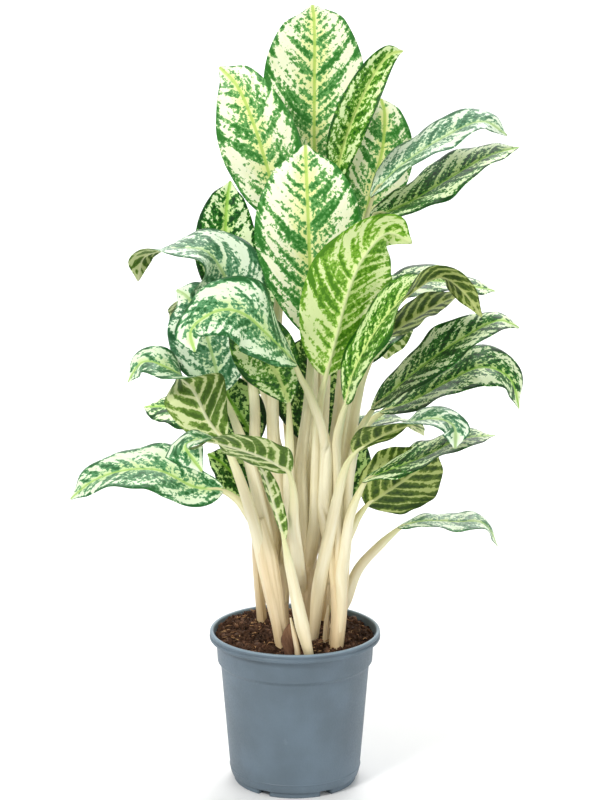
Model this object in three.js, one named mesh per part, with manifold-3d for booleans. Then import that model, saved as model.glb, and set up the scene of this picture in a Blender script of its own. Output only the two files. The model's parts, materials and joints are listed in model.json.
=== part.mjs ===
// A potted chinese evergreen: a clump of Aglaonema with variegated leaves on cream petioles, growing in
// potting soil in a round plastic nursery pot. Millimetres, +Z up. The origin is under the middle of the
// pot, on the surface that its feet stand on, and -Y is the front.
import * as THREE from "three";
import { mergeVertices } from "three/addons/utils/BufferGeometryUtils.js";
import Module from "manifold-3d";

const wasm = await Module();
wasm.setup();

// ---------------------------------------------------------------- driving dimensions
const POT_HEIGHT = 155;
const RIM_RADIUS = 85; // over the rolled lip of a 17 cm nursery pot
const BAND_RADIUS = 78.5; // upright band under the lip
const SHOULDER_Z = 124; // where the band steps in to the tapered body
const BODY_TOP_RADIUS = 74;
const BODY_FOOT_RADIUS = 65.2;
const WALL = 2;
const FOOT_HEIGHT = 6;
const FOOT_COUNT = 6;
const FOOT_SWEEP = 48; // degrees of the ring that one foot takes
const DRAIN_HOLE_RADIUS = 5;
const DRAIN_HOLE_RING = 42;
const ROUND_STEPS = 30;

const SOIL_Z = 150; // level of the soil near the pot's wall
const ROOTED_DEPTH = 20; // how far a stem goes down into the soil
const GAP = 0.3; // clearance that touching pieces keep

const BLADE_THICKNESS = 1.2;
const BLADE_STEPS = 8; // sections from the base of a blade to its tip
const BLADE_ACROSS = [-1, -0.5, 0, 0.5, 1];
const WIDEST_AT = 0.48; // share of the blade's length where it is widest
const PETIOLE_FOOT_RADIUS = 6;
const PETIOLE_NECK_RADIUS = 4.4;
const PETIOLE_SIDES = 6;
const SHEATHED_LENGTH = 50; // height that a petiole climbs inside its stem
const STEM_SIDES = 9;

const COLOURS = {
  plastic: 0x607480, soil: 0x3a2a20, cane: 0xe9dfbd, dry: 0x6e4a33,
  young: 0x9bbf6a, shaded: 0x2f6a34, leaf: 0x5f9a55,
};

// ---------------------------------------------------------------- the stems
// path: from the soil up; radii: evenly spaced from the soil to the top, which runs out among the petioles.
const STEMS = [
  {
    name: "stem_left", radii: [7.5, 10, 11, 5],
    path: [[-12, -46, 150], [-21, -43, 205], [-34, -38, 278]],
  },
  {
    name: "stem_left_back", radii: [5.5, 5.8, 5.8, 3],
    path: [[-33, 26, 150], [-37, 22, 215], [-38, 16, 292]],
  },
  {
    name: "stem_middle_left", radii: [6.5, 8.5, 9, 5],
    path: [[-11, -2, 150], [-14, -4, 205], [-20, -8, 290]],
  },
  {
    name: "stem_middle", radii: [9, 12.5, 13, 6],
    path: [[9, 4, 150], [9, -4, 210], [11, -10, 305]],
  },
  {
    name: "stem_right", radii: [8, 8.5, 8.5, 5],
    path: [[40, -44, 150], [43, -40, 195], [39, -34, 275]],
  },
  {
    name: "stem_right_back", radii: [6.5, 7.5, 8, 4],
    path: [[28, 24, 150], [31, 22, 215], [38, 20, 288]],
  },
  {
    name: "stem_back", radii: [9, 11, 11, 6],
    path: [[6, 50, 150], [9, 54, 230], [6, 60, 318]],
  },
];

// Sheaths that stay at the foot of the clump: one dry and brown, one torn, one of a young shoot.
const SHEATHS = [
  {
    name: "sheath_dry", radii: [5.5, 6.5, 1.5], dry: true,
    path: [[-5, -62, 150], [-6, -60, 162], [-5, -57, 178]],
  },
  {
    name: "sheath_torn", radii: [3, 2.4, 1],
    path: [[3, -68, 150], [0, -69, 168], [-4, -69, 188]],
  },
  {
    name: "sheath_young", radii: [3.5, 3, 1],
    path: [[30, -34, 150], [31, -34, 170], [33, -35, 190]],
  },
];

// ---------------------------------------------------------------- the leaves
// stem: the stem that it grows from, if it isn't rooted on its own;
// petiole: points from its foot up to the neck; rib: points of the midrib from the blade's base to its
// tip; faces: directions that the upper surface looks in, from base to tip; width: across the blade;
// cup: how far each half folds up, in degrees; widest: where the blade is widest, if not at WIDEST_AT.
const LEAVES = [
  // crown
  {
    name: "leaf_crown_back", stem: "stem_middle", widest: 0.58, width: 100, cup: 8,
    faces: [[0, -1, 0.15], [0, -1, 0.05]],
    petiole: [[12, -14, 275], [14, -16, 350], [20, 20, 480]],
    rib: [[22, 46, 574], [19, 54, 626], [19, 57, 690], [19, 60, 742], [17, 78, 764]],
  },
  {
    name: "leaf_crown_left", stem: "stem_middle_left", width: 78, cup: 10,
    faces: [[-0.2, -1, 0.2], [-0.25, -1, 0.15]],
    petiole: [[-12, -8, 268], [-20, -14, 340], [-21, -16, 410], [-15, -4, 490]],
    rib: [[-9, -2, 560], [-22, -8, 601], [-38, -14, 654], [-53, -12, 689], [-71, -2, 708]],
  },
  {
    name: "leaf_crown_sword", stem: "stem_middle", width: 50, cup: 46,
    faces: [[-0.1, -0.95, 0.3], [0.1, -0.95, 0.2]],
    petiole: [[18, -4, 290], [26, 2, 360], [32, 6, 485]],
    rib: [[38, 5, 594], [48, 0, 639], [67, -2, 686], [86, 4, 716], [103, 14, 722]],
  },
  {
    name: "leaf_crown_right", stem: "stem_right_back", width: 66, cup: 8,
    faces: [[0, -1, 0.1], [0.1, -1, 0.1]],
    petiole: [[32, 30, 262], [46, 45, 349], [62, 64, 458]],
    rib: [[68, 78, 548], [76, 80, 583], [86, 78, 622], [88, 74, 657], [84, 72, 674]],
  },
  {
    name: "leaf_upper_right", stem: "stem_right_back", width: 70, cup: 12,
    faces: [[-0.4, -0.2, 0.85], [-0.35, -0.3, 0.85], [-0.2, -0.35, 0.9]],
    petiole: [[30, 14, 264], [44, 16, 384], [55, 12, 503]],
    rib: [[72, 5, 584], [99, 10, 612], [138, 14, 638], [177, 14, 655], [203, 12, 642]],
  },
  {
    name: "leaf_upper_right_low", stem: "stem_right_back", width: 84, cup: 10,
    faces: [[-0.35, -0.32, 0.9], [-0.3, -0.3, 0.9]],
    petiole: [[38, 22, 270], [52, 30, 380], [60, 34, 480]],
    rib: [[71, 30, 560], [106, 30, 574], [145, 30, 597], [184, 28, 620], [216, 26, 630]],
  },
  // middle of the clump
  {
    name: "leaf_centre", stem: "stem_middle", widest: 0.56, width: 102, cup: 8,
    faces: [[0, -1, 0.2], [0, -1, 0.2]],
    petiole: [[7, -26, 268], [6, -34, 330], [13, -40, 394]],
    rib: [[16, -42, 454], [15, -52, 503], [13, -58, 561], [11, -55, 611], [10, -46, 639]],
  },
  {
    name: "leaf_front_lime", stem: "stem_middle", width: 86, cup: 10, young: true,
    faces: [[-0.2, 0.9, 0.35], [-0.2, 0.75, 0.6]],
    petiole: [[20, -34, 272], [21, -46, 340], [23, -54, 390]],
    rib: [[29, -62, 423], [38, -78, 462], [49, -92, 508], [62, -98, 540], [84, -94, 562], [108, -88, 552]],
  },
  {
    name: "leaf_front_left", stem: "stem_right", width: 74, cup: 8,
    faces: [[-0.1, -0.45, 0.9], [-0.1, -0.75, 0.65], [-0.5, -0.5, 0.7]],
    petiole: [[29, -50, 290], [29, -62, 358], [16, -76, 404], [6, -88, 426]],
    rib: [
      [2, -96, 441], [-24, -118, 472], [-47, -134, 495],
      [-70, -142, 498], [-92, -146, 482], [-89, -150, 462],
    ],
  },
  {
    name: "leaf_left_upright", stem: "stem_left_back", width: 62, cup: 10,
    faces: [[-0.1, -1, 0.15], [0, -1, 0.1]],
    petiole: [[-36, 16, 292], [-40, 16, 350], [-50, 20, 423]],
    rib: [[-57, 22, 472], [-65, 20, 512], [-67, 20, 551], [-65, 22, 580], [-62, 26, 598]],
  },
  {
    name: "leaf_left_arching", stem: "stem_middle_left", width: 80, cup: 10,
    faces: [[-0.2, -0.9, 0.4], [-0.3, -0.3, 0.9], [-0.4, 0.5, 0.8]],
    petiole: [[-25, -16, 280], [-38, -20, 330], [-39, -22, 392]],
    rib: [
      [-48, -22, 455], [-61, -34, 502], [-81, -42, 537],
      [-112, -42, 541], [-141, -38, 533], [-148, -36, 509],
    ],
  },
  {
    name: "leaf_left_pale", stem: "stem_left", width: 76, cup: 8,
    faces: [[-0.2, -0.95, 0.3], [-0.2, -0.95, 0.2]],
    petiole: [[-32, -30, 280], [-44, -30, 333], [-58, -32, 374]],
    rib: [[-70, -32, 401], [-77, -38, 434], [-87, -42, 468], [-99, -40, 492], [-112, -34, 501]],
  },
  {
    name: "leaf_left_folded", stem: "stem_left", width: 64, cup: 10,
    faces: [[-0.5, 0.75, 0.4], [-0.45, 0.6, 0.6], [-0.1, -0.3, 0.95], [-0.3, -0.45, 0.85]],
    petiole: [[-36, -42, 262], [-44, -44, 292], [-55, -46, 326]],
    rib: [
      [-67, -50, 358], [-83, -58, 381], [-98, -66, 415],
      [-119, -68, 432], [-142, -66, 437], [-157, -62, 417],
    ],
  },
  {
    name: "leaf_left_back_low", stem: "stem_left_back", width: 66, cup: 8,
    faces: [[-0.3, -0.1, 0.95], [-0.3, -0.25, 0.95]],
    petiole: [[-38, 20, 280], [-44, 40, 305], [-58, 70, 322]],
    rib: [[-75, 95, 338], [-102, 112, 348], [-132, 130, 352], [-158, 142, 350]],
  },
  {
    name: "leaf_front_low", stem: "stem_middle", width: 66, cup: 12,
    faces: [[-0.2, 0.7, 0.7], [-0.1, 0.3, 0.95], [-0.4, -0.35, 0.85]],
    petiole: [[2, -50, 246], [-1, -78, 287], [-1, -96, 319]],
    rib: [
      [-4, -102, 340], [-27, -118, 358], [-55, -132, 372],
      [-82, -138, 379], [-99, -140, 373], [-84, -142, 350],
    ],
  },
  {
    name: "leaf_far_left", stem: "stem_left", width: 76, cup: 10,
    faces: [[-0.1, -0.75, 0.65], [0, -0.32, 0.95], [0, -0.3, 0.95]],
    petiole: [[-26, -16, 240], [-40, -18, 268], [-54, -20, 290]],
    rib: [
      [-69, -22, 303], [-97, -28, 307], [-130, -32, 324],
      [-163, -34, 325], [-193, -34, 315], [-217, -34, 296],
    ],
  },
  {
    name: "leaf_under_left", stem: "stem_middle_left", widest: 0.56, width: 60, cup: 10,
    faces: [[-0.1, -0.9, 0.45], [-0.2, -0.9, 0.4]],
    petiole: [[-4, -36, 268], [-6, -46, 320], [-5, -54, 360]],
    rib: [[-5, -60, 396], [-12, -68, 416], [-25, -76, 443], [-40, -80, 470], [-52, -80, 491]],
  },
  {
    name: "leaf_dark_left", stem: "stem_middle_left", width: 54, cup: 10, shaded: true,
    faces: [[-0.2, -0.85, 0.5], [-0.2, -0.85, 0.5]],
    petiole: [[-24, -4, 275], [-30, -4, 310]],
    rib: [[-38, -8, 345], [-50, -10, 369], [-65, -12, 394], [-78, -10, 418]],
  },
  {
    name: "leaf_strip", width: 20, cup: 20,
    faces: [[0.7, 0.7, 0], [0.6, 0.8, 0]],
    petiole: [[14, -70, 150], [7, -74, 182], [-2, -80, 229]],
    rib: [[-9, -84, 269], [-17, -88, 300], [-26, -92, 330], [-37, -94, 352]],
  },
  {
    name: "leaf_dark_left_low", stem: "stem_middle_left", width: 46, cup: 14, shaded: true,
    faces: [[-0.2, -0.5, 0.85], [-0.2, -0.5, 0.85]],
    petiole: [[-20, 10, 262], [-30, 6, 272]],
    rib: [[-42, 2, 286], [-56, 4, 306], [-70, 6, 321], [-86, 6, 332]],
  },
  // right-hand side
  {
    name: "leaf_right_arching", width: 78, cup: 10,
    faces: [[-0.6, -0.5, 0.6], [-0.3, -0.4, 0.87], [0.6, 0.7, 0.4]],
    petiole: [[40, -46, 290], [39, -58, 350], [43, -74, 382]],
    rib: [
      [47, -84, 401], [56, -98, 438], [78, -116, 482], [103, -130, 513],
      [130, -138, 529], [151, -142, 516], [168, -146, 493],
    ],
  },
  {
    name: "leaf_right_under", stem: "stem_right_back", width: 60, cup: 10,
    faces: [[-0.4, 0.6, 0.7], [-0.2, 0.5, 0.85]],
    petiole: [[42, -14, 280], [54, -8, 349], [65, -8, 408]],
    rib: [[82, -8, 448], [106, -10, 466], [134, -12, 483], [160, -10, 493]],
  },
  {
    name: "leaf_right_back_high", stem: "stem_back", width: 66, cup: 10,
    faces: [[0, -0.28, 0.96], [0.1, -0.28, 0.96]],
    petiole: [[11, 54, 276], [30, 58, 340], [50, 68, 410]],
    rib: [[70, 82, 468], [104, 94, 482], [140, 106, 488], [176, 112, 482], [204, 116, 476]],
  },
  {
    name: "leaf_right_main", stem: "stem_right", width: 78, cup: 10,
    faces: [[-0.35, -0.3, 0.9], [-0.25, -0.3, 0.9]],
    petiole: [[46, -38, 272], [53, -44, 328], [60, -52, 364]],
    rib: [
      [72, -58, 391], [97, -66, 414], [126, -72, 440],
      [159, -74, 463], [189, -72, 477], [210, -68, 470],
    ],
  },
  {
    name: "leaf_right_drooping", stem: "stem_right", width: 76, cup: 10,
    faces: [[0, -0.2, 0.98], [0.1, -0.25, 0.95], [0.7, -0.5, 0.5]],
    petiole: [[47, -24, 262], [55, -22, 332], [67, -22, 364]],
    rib: [
      [82, -22, 380], [112, -28, 392], [145, -32, 411],
      [177, -34, 426], [204, -34, 416], [215, -32, 385],
    ],
  },
  {
    name: "leaf_right_mint", width: 60, cup: 12,
    faces: [[-0.3, 0.7, 0.65], [-0.2, 0.45, 0.85], [0, -0.2, 0.97], [0.2, -0.5, 0.85]],
    petiole: [[18, -24, 150], [24, -36, 210], [37, -58, 287], [47, -78, 336]],
    rib: [
      [55, -90, 356], [73, -102, 372], [96, -114, 386],
      [125, -122, 395], [145, -126, 389], [147, -128, 368],
    ],
  },
  {
    name: "leaf_right_long", stem: "stem_right", width: 80, cup: 8,
    faces: [[-0.2, -0.08, 1], [-0.1, -0.05, 1]],
    petiole: [[44, -42, 215], [48, -46, 245], [53, -54, 286]],
    rib: [[64, -66, 322], [90, -72, 335], [123, -76, 349], [155, -76, 365], [189, -72, 368]],
  },
  {
    name: "leaf_right_low_under", stem: "stem_right", width: 80, cup: 8,
    faces: [[0.25, 0.8, 0.55], [0.3, 0.75, 0.6]],
    petiole: [[42, -20, 225], [57, -22, 267]],
    rib: [[69, -28, 289], [86, -34, 303], [106, -38, 318], [125, -40, 334], [136, -40, 346]],
  },
  {
    name: "leaf_far_right_low", width: 52, cup: 6,
    faces: [[0, -0.05, 1], [0.1, -0.1, 1]],
    petiole: [[36, 6, 150], [50, 4, 183], [62, 2, 215], [82, -2, 240]],
    rib: [[101, -6, 261], [127, -10, 268], [157, -12, 268], [185, -12, 266], [199, -12, 243]],
  },
  // behind the stems and at the back of the clump
  {
    name: "leaf_dark_gap", stem: "stem_right_back", width: 58, cup: 8, shaded: true,
    faces: [[0, -1, 0.1], [0, -1, 0.1]],
    petiole: [[34, 28, 215], [42, 40, 240]],
    rib: [[46, 46, 266], [48, 50, 296], [48, 52, 328], [47, 50, 354]],
  },
  {
    name: "leaf_back_centre", stem: "stem_back", width: 88, cup: 8, shaded: true,
    faces: [[0, -1, 0.1], [0, -1, 0.3]],
    petiole: [[4, 50, 290], [12, 46, 310]],
    rib: [[20, 46, 330], [21, 56, 360], [20, 66, 398], [18, 70, 444]],
  },
  {
    name: "leaf_back_left", stem: "stem_back", width: 80, cup: 10,
    faces: [[-0.3, 0.2, 0.9], [-0.2, 0.6, 0.8]],
    petiole: [[-2, 62, 310], [-8, 74, 360], [-18, 88, 410]],
    rib: [[-28, 96, 446], [-42, 112, 480], [-55, 130, 496], [-64, 146, 488], [-70, 158, 466]],
  },
  {
    name: "leaf_back_upright", stem: "stem_back", width: 86, cup: 10,
    faces: [[0, -0.9, 0.4], [0, -0.8, 0.5]],
    petiole: [[2, 66, 312], [6, 84, 380], [12, 96, 430]],
    rib: [[16, 104, 462], [16, 114, 506], [12, 124, 552], [8, 132, 592], [4, 140, 620]],
  },
  {
    name: "leaf_back_right", stem: "stem_back", width: 78, cup: 10,
    faces: [[0.2, -0.2, 0.9], [0.1, 0.6, 0.8]],
    petiole: [[10, 66, 304], [28, 82, 340], [44, 94, 374]],
    rib: [[56, 100, 400], [72, 118, 426], [84, 138, 436], [92, 156, 420], [96, 166, 396]],
  },
  {
    name: "leaf_back_low", stem: "stem_back", width: 76, cup: 10,
    faces: [[-0.1, -0.1, 1], [-0.1, 0.5, 0.85]],
    petiole: [[2, 62, 290], [0, 80, 326], [-2, 96, 348]],
    rib: [[-4, 108, 364], [-8, 130, 376], [-14, 152, 374], [-18, 170, 350]],
  },
  {
    name: "leaf_back_high", stem: "stem_back", width: 66, cup: 10,
    faces: [[0.2, -0.9, 0.4], [0.2, -0.8, 0.5]],
    petiole: [[6, 68, 306], [18, 80, 380], [32, 88, 440]],
    rib: [[42, 96, 478], [50, 110, 520], [54, 124, 562], [54, 134, 596]],
  },
  {
    name: "leaf_back_left_mid", stem: "stem_back", width: 74, cup: 10,
    faces: [[-0.5, 0.1, 0.85], [-0.6, 0.3, 0.7]],
    petiole: [[-12, 58, 300], [-28, 64, 370], [-38, 70, 410]],
    rib: [[-48, 78, 434], [-74, 92, 462], [-104, 104, 470], [-128, 112, 448]],
  },
  {
    name: "leaf_back_right_low", stem: "stem_back", width: 70, cup: 10,
    faces: [[0.3, 0.1, 0.95], [0.4, 0.3, 0.85]],
    petiole: [[14, 64, 280], [26, 74, 300], [36, 82, 314]],
    rib: [[46, 90, 324], [76, 106, 340], [108, 120, 342], [134, 130, 322]],
  },
];

// ---------------------------------------------------------------- solids
// A closed body through a row of loops that all have the same number of points.
function loft(loops) {
  const size = loops[0].length;
  const total = (loop) => loop.reduce((sum, point) => sum.add(point), new THREE.Vector3());
  const middle = (loop) => total(loop).divideScalar(size);
  const points = [middle(loops[0]), ...loops.flat(), middle(loops.at(-1))];
  const last = points.length - 1;
  const at = (ring, side) => 1 + ring * size + (side % size);
  const faces = [];
  for (let side = 0; side < size; side += 1) {
    faces.push(0, at(0, side + 1), at(0, side));
    faces.push(last, at(loops.length - 1, side), at(loops.length - 1, side + 1));
    for (let ring = 0; ring < loops.length - 1; ring += 1) {
      faces.push(at(ring, side), at(ring, side + 1), at(ring + 1, side));
      faces.push(at(ring, side + 1), at(ring + 1, side + 1), at(ring + 1, side));
    }
  }
  const geometry = new THREE.BufferGeometry().setFromPoints(points);
  geometry.setIndex(faces);
  return geometry;
}

function toSolid(geometry) {
  const bare = geometry.clone();
  bare.deleteAttribute("normal");
  bare.deleteAttribute("uv");
  const merged = mergeVertices(bare, 1e-4);
  const mesh = new wasm.Mesh({
    numProp: 3,
    vertProperties: Float32Array.from(merged.attributes.position.array),
    triVerts: Uint32Array.from(merged.index.array),
  });
  return new wasm.Manifold(mesh);
}

function toGeometry(solid) {
  const mesh = solid.getMesh();
  const geometry = new THREE.BufferGeometry();
  geometry.setAttribute("position", new THREE.BufferAttribute(mesh.vertProperties, 3));
  geometry.setIndex(new THREE.BufferAttribute(mesh.triVerts, 1));
  const flat = geometry.toNonIndexed();
  flat.computeVertexNormals();
  return flat;
}

const toVectors = (points) => points.map((point) => new THREE.Vector3(...point));
const smoothCurve = (points) => new THREE.CatmullRomCurve3(points, false, "catmullrom", 0.5);

// Value at share t of a short list of evenly spaced values.
function along(values, t) {
  const place = Math.min(t, 0.9999) * (values.length - 1);
  const index = Math.floor(place);
  return THREE.MathUtils.lerp(values[index], values[index + 1], place - index);
}

// A round stem or petiole that follows a path, with its radius given at even steps.
function taperedTube(points, radii, steps, sides) {
  const curve = smoothCurve(points);
  const loops = [];
  for (let step = 0; step <= steps; step += 1) {
    const t = step / steps;
    const tangent = curve.getTangentAt(t);
    const across = new THREE.Vector3(1, 0, 0).addScaledVector(tangent, -tangent.x).normalize();
    const deep = new THREE.Vector3().crossVectors(tangent, across);
    const loop = [];
    for (let side = 0; side < sides; side += 1) {
      const angle = (2 * Math.PI * side) / sides;
      const radius = along(radii, t);
      const point = curve.getPointAt(t);
      point.addScaledVector(across, radius * Math.cos(angle));
      point.addScaledVector(deep, radius * Math.sin(angle));
      loop.push(point);
    }
    loops.push(loop);
  }
  return loft(loops);
}

// Half the blade's width at share t of its length, as a share of its greatest half width.
function bladeOutline(leaf, t) {
  const place = t ** (Math.log(0.5) / Math.log(leaf.widest ?? WIDEST_AT));
  return Math.max(0.03, Math.sin(Math.PI * place) ** 0.64);
}

function bladeFrame(leaf, t) {
  const curve = smoothCurve(toVectors(leaf.rib));
  const tangent = curve.getTangentAt(t);
  const face = new THREE.Vector3(...[0, 1, 2].map((axis) => along(leaf.faces.map((f) => f[axis]), t)));
  const side = new THREE.Vector3().crossVectors(tangent, face).normalize();
  const up = new THREE.Vector3().crossVectors(side, tangent);
  return { middle: curve.getPointAt(t), side, up };
}

// A blade folded a little along its midrib, with gently waved margins.
function bladeGeometry(leaf, extra) {
  const fold = THREE.MathUtils.degToRad(leaf.cup);
  const half = BLADE_THICKNESS / 2 + extra;
  const loops = [];
  for (let step = 0; step <= BLADE_STEPS; step += 1) {
    const t = 0.006 + 0.984 * (step / BLADE_STEPS);
    const frame = bladeFrame(leaf, t);
    const reach = (leaf.width / 2) * bladeOutline(leaf, t) + extra;
    const surface = BLADE_ACROSS.map((v) => {
      const wave = 0.035 * leaf.width * Math.sin(13 * t + 2.2 * Math.sign(v) + leaf.width) * v * v;
      const rise = reach * (Math.abs(v) * Math.sin(fold) - 0.09 * v * v) + wave * bladeOutline(leaf, t);
      const point = frame.middle.clone();
      point.addScaledVector(frame.side, v * reach * Math.cos(fold));
      return point.addScaledVector(frame.up, rise);
    });
    const upper = surface.map((point) => point.clone().addScaledVector(frame.up, half));
    const under = surface.map((point) => point.clone().addScaledVector(frame.up, -half)).reverse();
    loops.push([...upper, ...under]);
  }
  return loft(loops);
}

// The point of a stem's centre line at a height.
function heartOfStem(name, height) {
  const path = toVectors(STEMS.find((stem) => stem.name === name).path);
  const upper = Math.max(1, path.findIndex((point) => point.z > height));
  const [below, above] = [path[upper - 1], path[upper]];
  return below.clone().lerp(above, Math.max(0, (height - below.z) / (above.z - below.z)));
}

// The petiole, which starts inside its stem as a sheath and runs on under the blade as the thick part of
// its midrib.
function petioleGeometry(leaf, extra) {
  const foot = leaf.footRadius ?? PETIOLE_FOOT_RADIUS;
  const points = toVectors(leaf.petiole);
  if (leaf.stem) {
    points.unshift(heartOfStem(leaf.stem, points[0].z - SHEATHED_LENGTH));
  }
  for (const t of [0.02, 0.12]) {
    const frame = bladeFrame(leaf, t);
    points.push(frame.middle.addScaledVector(frame.up, -1.2));
  }
  const radii = [foot, foot, (foot + PETIOLE_NECK_RADIUS) / 2, PETIOLE_NECK_RADIUS, 1];
  const fattened = radii.map((radius) => radius + extra);
  return taperedTube(points, fattened, points.length + 2, PETIOLE_SIDES);
}

function leafSolid(leaf, extra) {
  return toSolid(bladeGeometry(leaf, extra)).add(toSolid(petioleGeometry(leaf, extra)));
}

function stemSolid(stem, extra) {
  const [foot, ...rest] = toVectors(stem.path);
  const rooted = foot.clone().setZ(foot.z - ROOTED_DEPTH);
  const radii = [stem.radii[0], ...stem.radii].map((radius) => radius + extra);
  return toSolid(taperedTube([rooted, foot, ...rest], radii, 6, STEM_SIDES));
}

// ---------------------------------------------------------------- the pot and the soil
function lathe(profile) {
  const points = profile.map(([radius, z]) => new THREE.Vector2(radius, z));
  return new THREE.LatheGeometry(points, ROUND_STEPS).rotateX(Math.PI / 2);
}

const LIP_Z = POT_HEIGHT - 8.5;
const FLOOR_Z = FOOT_HEIGHT + WALL;
const OUTER_WALL = [
  [0, FOOT_HEIGHT], [BODY_FOOT_RADIUS - 3.5, FOOT_HEIGHT], [BODY_FOOT_RADIUS - 1, FOOT_HEIGHT + 1.5],
  [BODY_FOOT_RADIUS, FOOT_HEIGHT + 6], [BODY_TOP_RADIUS, SHOULDER_Z - 4],
  [BODY_TOP_RADIUS + 3.2, SHOULDER_Z], [BAND_RADIUS, LIP_Z],
  [RIM_RADIUS - 1, LIP_Z], [RIM_RADIUS, LIP_Z + 1], [RIM_RADIUS, LIP_Z + 3.6],
  [RIM_RADIUS - 0.7, LIP_Z + 4.6], [RIM_RADIUS - 0.2, LIP_Z + 5.6], [RIM_RADIUS - 0.4, POT_HEIGHT - 0.8],
  [RIM_RADIUS - 1.4, POT_HEIGHT], [RIM_RADIUS - 3, POT_HEIGHT],
];
const INNER_WALL = [
  [RIM_RADIUS - 4, POT_HEIGHT - 1], [BAND_RADIUS - WALL + 1.5, LIP_Z - 2],
  [BODY_TOP_RADIUS - WALL + 2.6, SHOULDER_Z],
  [BODY_TOP_RADIUS - WALL, SHOULDER_Z - 6], [BODY_FOOT_RADIUS - WALL, FLOOR_Z + 5],
  [BODY_FOOT_RADIUS - WALL - 2.5, FLOOR_Z], [0, FLOOR_Z],
];

// One foot: a short stretch of a ring under the floor of the pot.
function footSolid(index) {
  const sweep = THREE.MathUtils.degToRad(FOOT_SWEEP);
  const middle = (2 * Math.PI * index) / FOOT_COUNT - Math.PI / 2;
  const outer = BODY_FOOT_RADIUS - 3.8;
  const outline = new THREE.Shape();
  outline.absarc(0, 0, outer, middle - sweep / 2, middle + sweep / 2, false);
  outline.absarc(0, 0, outer - 9, middle + sweep / 2, middle - sweep / 2, true);
  const settings = { depth: FOOT_HEIGHT + 0.5, bevelEnabled: false, curveSegments: 4 };
  return toSolid(new THREE.ExtrudeGeometry(outline, settings));
}

function drainHoleSolid(index) {
  const angle = (2 * Math.PI * (index + 0.5)) / FOOT_COUNT;
  const hole = new THREE.CylinderGeometry(DRAIN_HOLE_RADIUS, DRAIN_HOLE_RADIUS, 4 * WALL, 8);
  hole.rotateX(Math.PI / 2);
  hole.translate(DRAIN_HOLE_RING, 0, FOOT_HEIGHT + WALL / 2);
  hole.rotateZ(angle);
  return toSolid(hole);
}

function potSolid() {
  let pot = toSolid(lathe([...OUTER_WALL, ...INNER_WALL]));
  for (let index = 0; index < FOOT_COUNT; index += 1) {
    pot = pot.add(footSolid(index)).subtract(drainHoleSolid(index));
  }
  return pot;
}

// The soil fills the pot and is heaped a little, in soft lumps.
function soilSolid() {
  const side = INNER_WALL.slice(1, -1).reverse().map(([radius, z]) => [radius - GAP, z + GAP]);
  const heap = [[68, SOIL_Z + 2.5], [52, SOIL_Z + 2], [34, SOIL_Z + 2.5], [16, SOIL_Z + 3]];
  const top = [[RIM_RADIUS - 5.5, SOIL_Z], ...heap];
  const geometry = lathe([[0, FLOOR_Z + GAP], ...side, ...top, [0, SOIL_Z + 3]]);
  const place = geometry.attributes.position;
  for (let index = 0; index < place.count; index += 1) {
    const [x, y, z] = [place.getX(index), place.getY(index), place.getZ(index)];
    if (z > SOIL_Z + 1) {
      const lumps = Math.sin(x / 9) * Math.cos(y / 11) + 0.6 * Math.sin((x - y) / 17 + 1);
      place.setZ(index, z + 1.2 * lumps - 0.02 * x);
    }
  }
  return toSolid(geometry);
}

// ---------------------------------------------------------------- assembly
const plant = new THREE.Group();
const clearances = []; // what is placed so far, each a little fatter than it is

function addMesh(name, geometry, color, roughness) {
  const material = new THREE.MeshStandardMaterial({ color, roughness, metalness: 0 });
  const mesh = new THREE.Mesh(geometry, material);
  mesh.name = name;
  plant.add(mesh);
}

function boxesMeet(first, second) {
  const [a, b] = [first.boundingBox(), second.boundingBox()];
  return [0, 1, 2].every((axis) => a.min[axis] < b.max[axis] && b.min[axis] < a.max[axis]);
}

// Trims a piece where it would run into one placed before it, and keeps its main body.
function trimmed(solid) {
  let result = solid;
  for (const other of clearances) {
    if (boxesMeet(result, other)) {
      result = result.subtract(other);
    }
  }
  const bodies = result.decompose();
  return bodies.sort((a, b) => b.volume() - a.volume())[0];
}

for (const stem of [...STEMS, ...SHEATHS]) {
  addMesh(stem.name, toGeometry(trimmed(stemSolid(stem, 0))), stem.dry ? COLOURS.dry : COLOURS.cane, 0.55);
  clearances.push(stemSolid(stem, GAP));
}
for (const leaf of LEAVES) {
  const color = leaf.young ? COLOURS.young : leaf.shaded ? COLOURS.shaded : COLOURS.leaf;
  addMesh(leaf.name, toGeometry(trimmed(leafSolid(leaf, 0))), color, 0.4);
  clearances.push(leafSolid(leaf, GAP));
}
addMesh("soil", toGeometry(trimmed(soilSolid())), COLOURS.soil, 1);
addMesh("pot", toGeometry(potSolid()), COLOURS.plastic, 0.6);

export default plant;
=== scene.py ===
# %% [markdown]
# # A potted chinese evergreen
# The plant is a clump of Aglaonema: canes wrapped in pale leaf sheaths rise from potting soil, and every
# leaf is one piece, a petiole that carries a variegated blade. The construction model holds the place and
# size of each piece. Here each one gets its real surface: thin blades with veins and cream splashes,
# ribbed petioles, crumbly soil, and the moulded plastic of the nursery pot.

# %% Load the frame
import json
import math

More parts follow.
